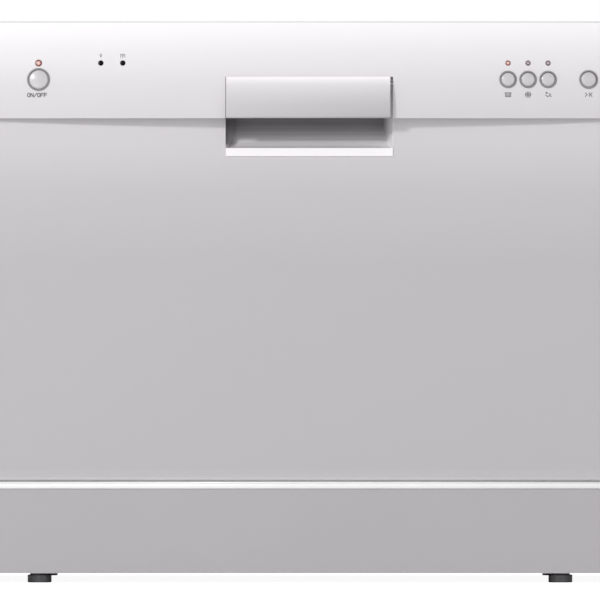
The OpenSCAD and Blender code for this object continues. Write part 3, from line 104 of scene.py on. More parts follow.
class Finish:
    """A material's node tree, written from the pattern to the shader."""

    def __init__(self, name, roughness, metallic=0.0, ior=1.5, coat=0.0):
        self.mat = bpy.data.materials.new(name)
        self.mat.use_nodes = True
        self.tree = self.mat.node_tree
        self.shader = self.tree.nodes["Principled BSDF"]
        self.shader.inputs["Roughness"].default_value = roughness
        self.shader.inputs["Metallic"].default_value = metallic
        self.shader.inputs["IOR"].default_value = ior
        self.shader.inputs["Coat Weight"].default_value = coat
        self.shader.inputs["Coat Roughness"].default_value = 0.12
        self.place = self.tree.nodes.new("ShaderNodeTexCoord").outputs["Object"]

    def node(self, kind, **values):
        n = self.tree.nodes.new(kind)
        for key, value in values.items():
            setattr(n, key, value)
        return n

    def link(self, a, b):
        self.tree.links.new(a, b)

    def spread(self, stretch=(1, 1, 1), turn=(0, 0, 0)):
        m = self.node("ShaderNodeMapping")
        m.inputs["Scale"].default_value = stretch
        m.inputs["Rotation"].default_value = turn
        self.link(self.place, m.inputs["Vector"])
        return m.outputs["Vector"]

    def noise(self, scale, detail=3.0, rough=0.55, vector=None):
        n = self.node("ShaderNodeTexNoise")
        n.inputs["Scale"].default_value = scale
        n.inputs["Detail"].default_value = detail
        n.inputs["Roughness"].default_value = rough
        self.link(vector or self.place, n.inputs["Vector"])
        return n.outputs["Fac"]

    def between(self, value, low, high, from_low=0.3, from_high=0.7):
        m = self.node("ShaderNodeMapRange")
        for key, v in (("From Min", from_low), ("From Max", from_high), ("To Min", low),
                       ("To Max", high)):
            m.inputs[key].default_value = v
        self.link(value, m.inputs["Value"])
        return m.outputs["Result"]

    def mix(self, factor, a, b, how="MIX"):
        m = self.node("ShaderNodeMix", data_type="RGBA", blend_type=how)
        for key, v in ((0, factor), (6, a), (7, b)):
            if isinstance(v, bpy.types.NodeSocket):
                self.link(v, m.inputs[key])
            else:
                m.inputs[key].default_value = v
        return m.outputs[2]

    def height(self, axis, low, high):
        """0 at one height and 1 at the other, along one axis of the object."""
        s = self.node("ShaderNodeSeparateXYZ")
        self.link(self.place, s.inputs[0])
        return self.between(s.outputs[axis], 0.0, 1.0, low, high)

    def ramp(self, value, stops):
        r = self.node("ShaderNodeValToRGB")
        while len(r.color_ramp.elements) < len(stops):
            r.color_ramp.elements.new(0.5)
        for e, (at, colour) in zip(r.color_ramp.elements, stops):
            e.position, e.color = at, colour
        self.link(value, r.inputs["Fac"])
        return r.outputs["Color"]

    def bump(self, value, strength, distance):
        b = self.node("ShaderNodeBump")
        b.inputs["Strength"].default_value = strength
        b.inputs["Distance"].default_value = distance
        self.link(value, b.inputs["Height"])
        self.link(b.outputs["Normal"], self.shader.inputs["Normal"])

    def colour(self, socket):
        self.link(socket, self.shader.inputs["Base Color"])

    def rough(self, socket):
        self.link(socket, self.shader.inputs["Roughness"])

    def graded(self, stops, span):
        """Painted light and shade: the tones of a list of heights and colours, over a span along Z."""
        return self.ramp(self.height("Z", *span), [(at, linear(c)) for at, c in stops])


def enamel(name, base, shade, roughness=0.32, stops=None, span=None):
    """Baked enamel on sheet steel: a fine orange peel, and a colour that drifts a little."""
    f = Finish(name, roughness, coat=0.1)
    drift = f.between(f.noise(3.5, 4), 0.0, 1.0)
    body = f.mix(drift, linear(base), linear(shade))
    # With stops, the colour becomes painted light and shade graded along Z, with a trace of the drift
    if stops:
        body = f.mix(f.between(drift, 0.0, 0.05, 0.0, 1.0), f.graded(stops, span), linear(shade))
    f.colour(body)
    f.rough(f.between(f.noise(60, 2), roughness - 0.03, roughness + 0.04))
    f.bump(f.noise(700, 1, 0.4), 0.006, 0.0002)
    return f.mat


def moulded(name, base, shade, roughness=0.3, grain=0.05, coat=0.0, grain_scale=1500,
            stops=None, span=None):
    """Injection-moulded plastic: a fine spark-eroded grain and slightly cloudy colour."""
    f = Finish(name, roughness, coat=coat)
    cloud = f.between(f.noise(14, 3), 0.0, 1.0)
    body = f.mix(cloud, linear(base), linear(shade))
    # With stops, the colour becomes painted light and shade graded along Z, with a trace of the cloud
    if stops:
        body = f.mix(f.between(cloud, 0.0, 0.02, 0.0, 1.0), f.graded(stops, span), linear(shade))
    f.colour(body)
    f.rough(f.between(f.noise(90, 3), roughness - 0.03, roughness + 0.03))
    f.bump(f.noise(grain_scale, 2, 0.6), grain, 0.0004)
    return f.mat


def brushed(name, base, shade, along, roughness=0.3):
    """Brushed stainless steel: long fine scratches along one axis, and water marks."""
    f = Finish(name, roughness, metallic=1.0)
    stretch = [900.0, 900.0, 900.0]
    stretch[along] = 12.0
    lines = f.noise(1.0, 3, 0.6, f.spread(tuple(stretch)))
    marks = f.between(f.noise(22, 5), 0.0, 1.0, 0.45, 0.75)
    tone = f.mix(f.between(lines, 0.0, 1.0, 0.35, 0.65), linear(shade), linear(base))
    f.colour(f.mix(f.between(marks, 0.0, 0.25, 0.0, 1.0), tone, linear(shade)))
    f.rough(f.between(lines, roughness - 0.08, roughness + 0.12, 0.3, 0.7))
    f.bump(lines, 0.08, 0.0002)
    return f.mat


def zinc_plate(name, base, shade, tint):
    """Zinc-plated steel: a spangle with a faint warm tint."""
    f = Finish(name, 0.36, metallic=1.0)
    cells = f.node("ShaderNodeTexVoronoi")
    cells.inputs["Scale"].default_value = 160
    f.link(f.place, cells.inputs["Vector"])
    spangle = f.mix(f.between(cells.outputs["Distance"], 0.0, 1.0, 0.0, 0.7), linear(shade), linear(base))
    f.colour(f.mix(f.between(f.noise(30, 4), 0.0, 0.35), spangle, linear(tint)))
    f.rough(f.between(f.noise(70, 3), 0.28, 0.46))
    f.bump(cells.outputs["Distance"], 0.04, 0.0003)
    return f.mat


def rubbery(name, base, shade):
    """Matt rubber: a dusty bloom over a fine grain."""
    f = Finish(name, 0.75)
    f.colour(f.mix(f.between(f.noise(45, 4), 0.0, 1.0), linear(base), linear(shade)))
    f.rough(f.between(f.noise(80, 3), 0.62, 0.85))
    f.bump(f.noise(1400, 3, 0.7), 0.18, 0.0004)
    return f.mat


def coated_wire(name, base, shade):
    """Thick dipped vinyl on wire: glossy, a little uneven."""
    f = Finish(name, 0.28, coat=0.4)
    f.colour(f.mix(f.between(f.noise(30, 3), 0.0, 1.0), linear(base), linear(shade)))
    f.rough(f.between(f.noise(120, 2), 0.22, 0.38))
    f.bump(f.noise(260, 2, 0.4), 0.1, 0.0006)
    return f.mat


def circuit_board(name):
    """Green solder mask with copper tracks under it."""
    f = Finish(name, 0.35, coat=0.3)
    tracks = f.node("ShaderNodeTexBrick")
    for key, v in (("Scale", 120.0), ("Mortar Size", 0.03), ("Color1", linear((24, 92, 52))),
                   ("Color2", linear((30, 104, 60))), ("Mortar", linear((88, 130, 70)))):
        tracks.inputs[key].default_value = v
    f.link(f.spread(turn=(math.radians(90), 0, 0)), tracks.inputs["Vector"])
    f.colour(tracks.outputs["Color"])
    f.bump(tracks.outputs["Fac"], 0.2, 0.0002)
    return f.mat


def lamp_lens(name, centre, ring, coat=0.6, shine=0.5):
    """A lamp's lens: a pale centre in a darker coloured ring, from the lens's own map; a lit or dim lamp's
    glow is painted into these colours, and nothing emits light.
    """
    f = Finish(name, 0.15, coat=coat)
    f.shader.inputs["Specular IOR Level"].default_value = shine
    uv = f.node("ShaderNodeUVMap", uv_map="face")
    length = f.node("ShaderNodeVectorMath", operation="LENGTH")
    f.link(uv.outputs["UV"], length.inputs[0])
    stops = ((0.0, centre), (0.42, centre), (0.62, ring), (1.0, ring))
    f.colour(f.ramp(length.outputs["Value"], [(at, linear(c)) for at, c in stops]))
    f.rough(f.between(f.noise(200, 2), 0.12, 0.22))
    return f.mat


def print_ink(name, base, shade):
    """Screen-printed ink."""
    f = Finish(name, 0.5)
    f.colour(f.mix(f.between(f.noise(400, 2), 0.0, 1.0), linear(base), linear(shade)))
    f.bump(f.noise(2500, 2), 0.05, 0.0001)
    return f.mat


def recess_painted_shade(name, left, right, lip, top):
    """White plastic with painted shade: darker up from the lip towards the top of the finger recess and on
    its left wall, with a painted highlight on its right wall.
    """
    f = Finish(name, 0.34, coat=0.2)
    # Painted shade: white at the lip, darker up to the panel's foot
    tones = ((0.0, 255), (0.14, 255), (0.3, 242), (0.44, 208), (0.6, 168), (0.78, 134), (1.0, 120))
    graded = f.graded([(at, neutral(v)) for at, v in tones], (lip, top))
    # Painted shade on the left wall, 9.5 mm wide, fading in just above the lip
    corner_w, rise = 0.0095, (0.0005, 0.004)
    low = f.node("ShaderNodeMath", operation="MULTIPLY")
    f.link(f.height("X", left + corner_w, left), low.inputs[0])
    f.link(f.height("Z", lip + rise[0], lip + rise[1]), low.inputs[1])
    shaded = f.mix(low.outputs[0], graded, linear(neutral(80)))
    # Painted highlight along the right wall
    body = f.mix(f.height("X", right - 0.0078, right - 0.0015), shaded, linear(254))
    f.colour(f.mix(f.between(f.noise(30, 3), 0.0, 0.03), body, linear(200)))
    f.rough(f.between(f.noise(90, 3), 0.28, 0.4))
    f.bump(f.noise(1500, 2, 0.6), 0.02, 0.0004)
    return f.mat


# The heights that the painted light and shade run between, in metres: the door's foot, the recess's lip, the
# panel's foot, the handle plate's CAD top and the panel's top
DOOR_Z0, LIP_Z, FASCIA_Z0, HANDLE_TOP, FASCIA_Z1 = 0.08, 0.3387, 0.3619, 0.3930, 0.4365
# The finger recess's left and right edges, where its walls get painted shade and a painted highlight
RECESS_X0, RECESS_X1 = -0.058, 0.0724
# The panel's white carries painted light and shade: darker towards its foot, a painted highlight towards its
# top
WHITE_GLOSS = moulded("white_gloss", (241, 240, 243), (235, 234, 238), 0.32, 0.004, coat=0.15,
                      stops=[(0.0, neutral(215)), (0.35, neutral(224)), (0.7, neutral(239)),
                             (0.88, neutral(249)), (1.0, neutral(255))],
                      span=(FASCIA_Z0, FASCIA_Z1))
CUP_PAINTED_SHADE = recess_painted_shade("cup_white", RECESS_X0, RECESS_X1, LIP_Z, FASCIA_Z0)
TRIM_WHITE = moulded("trim_white", 254, 250, 0.3, 0.02, coat=0.2)
# The door's colour carries painted light and shade along its height: a painted highlight on the rolled foot,
# lighter towards the top, and a painted shadow just under the panel
DOOR_SILVER = enamel("door_silver", (194, 193, 195), (190, 189, 191), 0.38,
                     stops=[(0.0, (255, 253, 255)), (0.0035, (250, 248, 250)), (0.0064, (229, 227, 230)),
                            (0.0089, neutral(213)), (0.0174, neutral(204)), (0.029, neutral(191)),
                            (0.6, neutral(191)), (0.8, neutral(199)), (0.93, neutral(212)),
                            (0.98, neutral(214)), (1.0, neutral(200))],
                     span=(DOOR_Z0, FASCIA_Z0))
CABINET_WHITE = enamel("cabinet_white", (238, 238, 239), (234, 234, 236), 0.3)
PLINTH_GREY = enamel("plinth_grey", (184, 181, 184), (181, 178, 181), 0.42)
REAR_GREY = enamel("rear_grey", (190, 190, 192), (182, 182, 185), 0.45)
# The handle plate's colour carries painted shade towards its foot and a painted highlight along its top edge
HANDLE_SILVER = moulded("handle_silver", (232, 231, 233), (224, 223, 226), 0.5, 0.006,
                        stops=[(0.0, neutral(193)), (0.33, neutral(199)), (0.58, neutral(210)),
                               (0.83, neutral(225)), (0.95, neutral(243)), (1.0, neutral(255))],
                        span=(FASCIA_Z0, HANDLE_TOP))
BUTTON_SILVER = moulded("button_silver", neutral(209), neutral(199), 0.3, 0.01, coat=0.3)
BEZEL_GREY = moulded("bezel_grey", neutral(152), neutral(142), 0.3, 0.01, coat=0.3)
STAINLESS = brushed("stainless", (205, 206, 208), (186, 187, 190), 0, 0.3)
STAINLESS_LINER = brushed("stainless_liner", (208, 209, 211), (190, 191, 194), 0, 0.26)
ZINC = zinc_plate("zinc", (196, 198, 202), (174, 176, 181), (196, 190, 172))
DARK_PLASTIC = moulded("dark_plastic", (74, 76, 80), (64, 66, 70), 0.5, 0.12, grain_scale=900)
BLACK_PLASTIC = moulded("black_plastic", (34, 34, 37), (28, 28, 30), 0.48, 0.12, grain_scale=900)
GREY_PLASTIC = moulded("grey_plastic", (148, 152, 158), (138, 142, 149), 0.42, 0.08, grain_scale=1100)
PALE_PLASTIC = moulded("pale_plastic", (224, 224, 219), (214, 214, 208), 0.42, 0.06, grain_scale=1100)
CAP_BLUE = moulded("cap_blue", (78, 116, 152), (68, 104, 140), 0.38, 0.06)
RUBBER_BLACK = rubbery("rubber_black", (76, 74, 77), (86, 84, 87))
FOOT_GREY = moulded("foot_grey", (128, 126, 129), (116, 114, 117), 0.4, 0.06, grain_scale=1100)
RUBBER_GREY = rubbery("rubber_grey", (78, 78, 81), (90, 90, 93))
RACK_COATING = coated_wire("rack_coating", (214, 216, 220), (202, 204, 209))
BOARD_GREEN = circuit_board("board_green")
# The lit and dim lamps' glow is painted into their lens colours, with no emission; the unlit warning lamps
# are dark
LAMP_RED = lamp_lens("lamp_red", (236, 196, 186), (136, 64, 58))
LAMP_DIM = lamp_lens("lamp_dim", (182, 166, 170), (108, 90, 96))
LAMP_OFF = lamp_lens("lamp_off", (6, 6, 7), (3, 3, 4), 0.0, 0.1)
INK = print_ink("print_ink", (86, 83, 86), (96, 93, 96))

SLOT_FINISH = {
    "cabinet_white": CABINET_WHITE, "plinth_grey": PLINTH_GREY, "door_silver": DOOR_SILVER,
    "rear_grey": REAR_GREY, "white_gloss": WHITE_GLOSS, "handle_silver": HANDLE_SILVER,
    "button_silver": BUTTON_SILVER, "bezel_grey": BEZEL_GREY, "lens_red": LAMP_RED,
    "stainless": STAINLESS, "zinc": ZINC, "black_plastic": BLACK_PLASTIC,
    "dark_plastic": DARK_PLASTIC, "grey_plastic": GREY_PLASTIC, "pale_plastic": PALE_PLASTIC,
    "rubber_black": RUBBER_BLACK, "rubber_grey": RUBBER_GREY, "rack_coating": RACK_COATING,
    "board_green": BOARD_GREEN, "cap_blue": CAP_BLUE,
}
NODE_FINISH = {"plinth_trim": TRIM_WHITE, "inner_door_liner": STAINLESS_LINER, "handle_cup": CUP_PAINTED_SHADE}
for part in frame["record"]["subparts"]:
    shown = NODES[part["node"]]
    finish = NODE_FINISH.get(part["node"], SLOT_FINISH[part["material_slot"]])
    for s in shown.material_slots:
        s.material = finish


# ---- Mesh helpers
def piece(name, mesh, finish, body, smooth=True):
    """A finished piece: at the origin, with its place in its mesh."""
    obj = bpy.data.objects.new(name, mesh)
    bpy.context.scene.collection.objects.link(obj)
    mesh.materials.clear()
    mesh.materials.append(finish)
    if smooth:
        for p in mesh.polygons:
            p.use_smooth = True
    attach(obj, body)
    return obj


# The control panel's face: turned about an upright axis far behind it
END_Y, BOW, HALF_W, FACE_R = -0.230, 0.014, 0.275, 0.250
BOW_R = (HALF_W ** 2 + BOW ** 2) / (2 * BOW)
AXIS_Y = END_Y - BOW + BOW_R


def setback(h):
    """How far the face has tilted back at height h over the panel's foot."""
    return FACE_R - math.sqrt(FACE_R ** 2 - h * h)


def on_face(x, h, out=0.0):
    """A point on the control panel's face at x and height h, moved outwards, and the normal there."""
    r = BOW_R - setback(h)
    y = AXIS_Y - math.sqrt(r * r - x * x)
    turn, tilt = math.asin(x / r), math.asin(h / FACE_R)
    normal = Vector((math.sin(turn) * math.cos(tilt), -math.cos(turn) * math.cos(tilt), math.sin(tilt)))
    return Vector((x, y, FASCIA_Z0 + h)) + normal * out, normal


def face_frame(x, h, out=0.0):
    """A frame on the face: its Z points outwards, its Y up along the face."""
    at, normal = on_face(x, h, out)
    side = Vector((0, 0, 1)).cross(normal).normalized()
    m = Matrix((side, normal.cross(side), normal)).transposed().to_4x4()
    m.translation = at
    return m


FLAT, CORNER = math.radians(0.6), math.radians(32)  # faces joined into one, and edges to round
WELD = 0.00001


def eased(node, width, finish):
    """The CAD node's own shape with its sharp edges rounded, in place of the node."""
    source = NODES[node]
    mesh = source.data.copy()
    bm = bmesh.new()
    bm.from_mesh(mesh)
    bmesh.ops.remove_doubles(bm, verts=bm.verts, dist=WELD)
    bmesh.ops.dissolve_limit(bm, angle_limit=FLAT, verts=bm.verts, edges=bm.edges)
    bm.to_mesh(mesh)
    bm.free()
    mesh.name = node
    obj = bpy.data.objects.new(node + "_eased", mesh)
    bpy.context.scene.collection.objects.link(obj)
    bevel = obj.modifiers.new("bevel", "BEVEL")
    bevel.width, bevel.segments, bevel.limit_method, bevel.angle_limit = width, 2, "ANGLE", CORNER
    normals = obj.modifiers.new("normals", "WEIGHTED_NORMAL")
    normals.keep_sharp = False
    dg = bpy.context.evaluated_depsgraph_get()
    done = bpy.data.meshes.new_from_object(obj.evaluated_get(dg))
    bpy.data.objects.remove(obj)
    made = piece(node + "_moulding", done, finish, body_of(source)[0])
    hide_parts(node)
    return made


# ---- Geometry Nodes: wires along paths, coils and screw heads
def group(name, inputs):
    """A new Geometry Nodes tree with named inputs, and the two ends of it."""
    g = bpy.data.node_groups.new(name, "GeometryNodeTree")
    g.interface.new_socket("Geometry", in_out="INPUT", socket_type="NodeSocketGeometry")
    for label, kind, value in inputs:
        g.interface.new_socket(label, in_out="INPUT", socket_type=kind).default_value = value
    g.interface.new_socket("Geometry", in_out="OUTPUT", socket_type="NodeSocketGeometry")
    return g, g.nodes.new("NodeGroupInput"), g.nodes.new("NodeGroupOutput")


def chain(g, *sockets):
    """Links of a tree: each pair of sockets, from and to."""
    for a, b in zip(sockets[::2], sockets[1::2]):
        g.links.new(a, b)


def finish_tree(g, geometry, out, finish):
    """The end of a tree: real meshes, with the finish on them."""
    real = g.nodes.new("GeometryNodeRealizeInstances")
    paint = g.nodes.new("GeometryNodeSetMaterial")
    paint.inputs["Material"].default_value = finish
    chain(g, geometry, real.inputs[0], real.outputs[0], paint.inputs["Geometry"],
          paint.outputs[0], out.inputs[0])


def grown(name, mesh, g, finish, body, slot, **values):
    """The mesh that a Geometry Nodes tree makes from a base mesh, as a plain piece."""
    base = bpy.data.objects.new(name + "_base", mesh)
    bpy.context.scene.collection.objects.link(base)
    mod = base.modifiers.new("grow", "NODES")
    mod.node_group = g
    for item in g.interface.items_tree:
        key = item.name.replace(" ", "_").lower()
        if item.in_out == "INPUT" and key in values:
            mod[item.identifier] = values[key]
    dg = bpy.context.evaluated_depsgraph_get()
    done = bpy.data.meshes.new_from_object(base.evaluated_get(dg))
    bpy.data.objects.remove(base)
    done.name = name
    return piece(name, done, finish, body)


def wire_tree(finish):
    """Round wires along a mesh's edges, with bends of one radius and capped ends."""
    g, start, out = group("wires_" + finish.name, [
        ("Wire Radius", "NodeSocketFloat", 0.0016), ("Bend Radius", "NodeSocketFloat", 0.006),
        ("Sides", "NodeSocketInt", 10)])
    line = g.nodes.new("GeometryNodeMeshToCurve")
    bend = g.nodes.new("GeometryNodeFilletCurve")
    bend.mode = "POLY"
    bend.inputs["Count"].default_value = 6
    ring = g.nodes.new("GeometryNodeCurvePrimitiveCircle")
    tube = g.nodes.new("GeometryNodeCurveToMesh")
    tube.inputs["Fill Caps"].default_value = True
    chain(g, start.outputs["Geometry"], line.inputs["Mesh"], line.outputs["Curve"], bend.inputs["Curve"],
          start.outputs["Bend Radius"], bend.inputs["Radius"],
          start.outputs["Wire Radius"], ring.inputs["Radius"],
          start.outputs["Sides"], ring.inputs["Resolution"],
          bend.outputs["Curve"], tube.inputs["Curve"], ring.outputs["Curve"], tube.inputs["Profile Curve"])
    finish_tree(g, tube.outputs["Mesh"], out, finish)
    return g


def paths(name, lines, closed=()):
    """A mesh of edges: each line a list of points, in metres."""
    verts, edges = [], []
    for i, line in enumerate(lines):
        first = len(verts)
        verts += line
        edges += [(first + k, first + k + 1) for k in range(len(line) - 1)]
        if i in closed:
            edges.append((len(verts) - 1, first))
    mesh = bpy.data.meshes.new(name)
    mesh.from_pydata([tuple(v) for v in verts], edges, [])
    return mesh


def mm(*v):
    """Millimetres in metres."""
    return tuple(x / 1000 for x in v)


# The rack's lines, as in the part's source, in millimetres
RACK_Z, RACK_H, LOW_X, HIGH_X = 149.3, 112.0, 215.2, 238.2
FRONT, LIP, BACK, BACK_TOP = -150.0, -165.0, 190.0, 200.0
FRAME_R, GRID_R = 2.2, 1.6
LIFT = 1.2 * GRID_R
EDGE = 20
CROSS_PITCH, LONG_PITCH = 300 / 9, (2 * LOW_X - 2 * EDGE) / 7
CROSS_Y = [FRONT + EDGE + CROSS_PITCH * i for i in range(10)]
LONG_X = [-LOW_X + EDGE + LONG_PITCH * i for i in range(8)]
TOP_Z = RACK_Z + RACK_H
TINE_ROWS, TINES, TINE_PITCH, TINE_X0, TINE_H, TINE_LEAN = (25.0, 113.0), 10, 25, -199.2, 68, 6
TINE_BAR = (-211.2, 37.8)


def hoop(s):
    """A closed line round the rack, at a share of its height."""
    x = LOW_X + (HIGH_X - LOW_X) * s
    y0, y1 = FRONT + (LIP - FRONT) * s, BACK + (BACK_TOP - BACK) * s
    z = RACK_Z + RACK_H * s
    return [mm(0, y0, z), mm(x, y0, z), mm(x, y1, z), mm(-x, y1, z), mm(-x, y0, z)]


rack_wires = wire_tree(RACK_COATING)
frame_wires = grown("rack_frame_wires", paths("rack_frame", [hoop(0), hoop(1)], closed=(0, 1)),
                    rack_wires, RACK_COATING, "rack", "rack_coating",
                    wire_radius=FRAME_R / 1000, bend_radius=0.014, sides=12)
basket_lines = [hoop(0.55)]
for y in CROSS_Y:
    basket_lines.append([mm(-HIGH_X, y, TOP_Z), mm(-LOW_X, y, RACK_Z), mm(LOW_X, y, RACK_Z),
                         mm(HIGH_X, y, TOP_Z)])
for x in LONG_X:
    basket_lines.append([mm(x, LIP, TOP_Z), mm(x, FRONT, RACK_Z + LIFT), mm(x, BACK, RACK_Z + LIFT),
                         mm(x, BACK_TOP, TOP_Z)])
for y in TINE_ROWS:
    z = RACK_Z + 2 * LIFT
    basket_lines.append([mm(x, y, z) for x in TINE_BAR])
    for i in range(TINES):
        x = TINE_X0 + TINE_PITCH * i
        basket_lines.append([mm(x, y, z), mm(x, y - TINE_LEAN, z + TINE_H)])
grown("rack_grid_wires", paths("rack_grid", basket_lines, closed=(0,)), rack_wires, RACK_COATING,
      "rack", "rack_coating", wire_radius=GRID_R / 1000, bend_radius=0.006, sides=10)


def solid(name, build, finish, body, bevel=0.0, segments=2, smooth=True):
    """A piece made by a bmesh function, with rounded edges."""
    bm = bmesh.new()
    build(bm)
    mesh = bpy.data.meshes.new(name)
    bmesh.ops.recalc_face_normals(bm, faces=bm.faces)
    bm.to_mesh(mesh)
    bm.free()
    if bevel:
        obj = bpy.data.objects.new(name, mesh)
        bpy.context.scene.collection.objects.link(obj)
        mod = obj.modifiers.new("bevel", "BEVEL")
        mod.width, mod.segments, mod.limit_method = bevel, segments, "ANGLE"
        mod.angle_limit = math.radians(35)
        obj.modifiers.new("normals", "WEIGHTED_NORMAL")
        mesh = bpy.data.meshes.new_from_object(obj.evaluated_get(bpy.context.evaluated_depsgraph_get()))
        bpy.data.objects.remove(obj)
        mesh.name = name
    return piece(name, mesh, finish, body, smooth)


def add_box(bm, x0, x1, y0, y1, z0, z1):
    place = Matrix.Translation(((x0 + x1) / 2, (y0 + y1) / 2, (z0 + z1) / 2))
    bmesh.ops.create_cube(bm, size=1.0, matrix=place @ Matrix.Diagonal((x1 - x0, y1 - y0, z1 - z0, 1)))


def add_rod(bm, a, b, r, sides=28):
    a, b = Vector(a), Vector(b)
    turn = (b - a).to_track_quat("Z", "Y").to_matrix().to_4x4()
    bmesh.ops.create_cone(bm, cap_ends=True, segments=sides, radius1=r, radius2=r,
                          depth=(b - a).length, matrix=Matrix.Translation((a + b) / 2) @ turn)


# The carriers that hold the wheels' axles, and the two clips of the shelf's rod, in metres
CARRIER_Y, CARRIER_X, CARRIER_Z, RIB_Z = (-0.090, 0.134), (0.2122, 0.2192), (0.1293, 0.1530), (0.1455, 0.1530)
AXLE_Z, AXLE_X, AXLE_HEAD_X = 0.1353, (0.2152, 0.2427), (0.2413, 0.2427)
CLIP_X, CLIP_Z, CLIP_ARM_X, CLIP_ARM_Z = -0.22276, 0.22994, (-0.2328, -0.2253), (0.2275, 0.2305)


def wheel_carriers(bm):
    for side in (-1, 1):
        for y in CARRIER_Y:
            x0, x1 = sorted(side * x for x in CARRIER_X)
            add_box(bm, x0, x1, y - 0.010, y + 0.010, *CARRIER_Z)
            add_box(bm, x0 + 0.001, x1 - 0.001, y - 0.012, y - 0.0095, *RIB_Z)
            add_box(bm, x0 + 0.001, x1 - 0.001, y + 0.0095, y + 0.012, *RIB_Z)
            for ends, r in ((AXLE_X, 0.003), (AXLE_HEAD_X, 0.005)):
                add_rod(bm, *[(side * x, y, AXLE_Z) for x in ends], r)
    for y in (CROSS_Y[1] / 1000, CROSS_Y[4] / 1000):
        add_rod(bm, (CLIP_X, y - 0.004, CLIP_Z), (CLIP_X, y + 0.004, CLIP_Z), 0.0038)
        add_box(bm, *CLIP_ARM_X, y - 0.003, y + 0.003, *CLIP_ARM_Z)


carriers = solid("rack_wheel_carriers", wheel_carriers, GREY_PLASTIC, "rack", 0.0006)
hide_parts("dish_rack")

# The cup shelf, in millimetres: its rod, its width, and a rail raised at its inner edge
SHELF_X, SHELF_Z, SHELF_W = -222.76, 229.94, 92.0
SHELF_END, RAIL_X, RAIL_Z = SHELF_X + SHELF_W, SHELF_X + SHELF_W + 6, SHELF_Z + 10
SHELF_Y0, SHELF_Y1 = CROSS_Y[0] + CROSS_PITCH / 4 - 3, CROSS_Y[0] + 4.25 * CROSS_PITCH + 3
shelf_lines = [[mm(x, SHELF_Y0, z), mm(x, SHELF_Y1, z)] for x, z in (
    (SHELF_X, SHELF_Z), (SHELF_X + SHELF_W / 2, SHELF_Z), (SHELF_END, SHELF_Z), (RAIL_X, RAIL_Z))]
for i in range(4):
    for k in (0.25, 0.75):
        y = CROSS_Y[0] + (i + k) * CROSS_PITCH
        shelf_lines.append([mm(SHELF_X, y, SHELF_Z), mm(SHELF_END, y, SHELF_Z), mm(RAIL_X, y, RAIL_Z)])
shelf = grown("cup_shelf_wires", paths("cup_shelf", shelf_lines), rack_wires, RACK_COATING,
              "cup_shelf", "rack_coating", wire_radius=GRID_R / 1000, bend_radius=0.004, sides=10)
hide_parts("cup_shelf")


def coil_tree(finish):
    """A close-wound spring on each point of the base mesh."""
    g, start, out = group("door_spring_coil", [
        ("Turns", "NodeSocketFloat", 14.0), ("Coil Radius", "NodeSocketFloat", 0.0043),
        ("Height", "NodeSocketFloat", 0.04), ("Wire Radius", "NodeSocketFloat", 0.0007)])
    spiral = g.nodes.new("GeometryNodeCurveSpiral")
    spiral.inputs["Resolution"].default_value = 20
    ring = g.nodes.new("GeometryNodeCurvePrimitiveCircle")
    ring.inputs["Resolution"].default_value = 7
    tube = g.nodes.new("GeometryNodeCurveToMesh")
    tube.inputs["Fill Caps"].default_value = True
    place = g.nodes.new("GeometryNodeInstanceOnPoints")
    chain(g, start.outputs["Turns"], spiral.inputs["Rotations"],
          start.outputs["Coil Radius"], spiral.inputs["Start Radius"],
          start.outputs["Coil Radius"], spiral.inputs["End Radius"],
          start.outputs["Height"], spiral.inputs["Height"],
          start.outputs["Wire Radius"], ring.inputs["Radius"], spiral.outputs["Curve"], tube.inputs["Curve"],
          ring.outputs["Curve"], tube.inputs["Profile Curve"],
          start.outputs["Geometry"], place.inputs["Points"], tube.outputs["Mesh"], place.inputs["Instance"])
    finish_tree(g, place.outputs["Instances"], out, finish)
    return g


SPRING_X, SPRING_Y, SPRING_Z0, COIL_TOP, SPRING_TOP = 0.2605, -0.1975, 0.0149, 0.0599, 0.0689
FOOT_HOOK_Z, TOP_HOOK_X = (0.0099, 0.016), (0.2636, 0.2582)
SIDES = (-1, 1)
seats = [[(s * SPRING_X, SPRING_Y, SPRING_Z0)] for s in SIDES]
coils = grown("door_spring_coils", paths("spring_seats", seats), coil_tree(ZINC), ZINC, "cabinet", "zinc",
              turns=17.0, coil_radius=0.0042, height=0.045, wire_radius=0.0008)
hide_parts("door_springs")
foot_hooks = [[(s * SPRING_X, SPRING_Y, z) for z in FOOT_HOOK_Z] for s in SIDES]
top_hooks = [[(s * TOP_HOOK_X[0], SPRING_Y, COIL_TOP), (s * TOP_HOOK_X[0], SPRING_Y, SPRING_TOP),
              (s * TOP_HOOK_X[1], SPRING_Y, SPRING_TOP)] for s in SIDES]
grown("door_spring_hooks", paths("spring_hooks", foot_hooks + top_hooks), wire_tree(ZINC), ZINC,
      "cabinet", "zinc", wire_radius=0.0009, bend_radius=0.0015, sides=8)


def screw_tree(finish, head):
    """The same screw head on each point of the base mesh."""
    g, start, out = group("rear_screw_heads", [("Size", "NodeSocketFloat", 1.0)])
    source = g.nodes.new("GeometryNodeObjectInfo")
    source.inputs["Object"].default_value = head
    place = g.nodes.new("GeometryNodeInstanceOnPoints")
    chain(g, start.outputs["Geometry"], place.inputs["Points"],
          source.outputs["Geometry"], place.inputs["Instance"], start.outputs["Size"], place.inputs["Scale"])
    finish_tree(g, place.outputs["Instances"], out, finish)
    return g


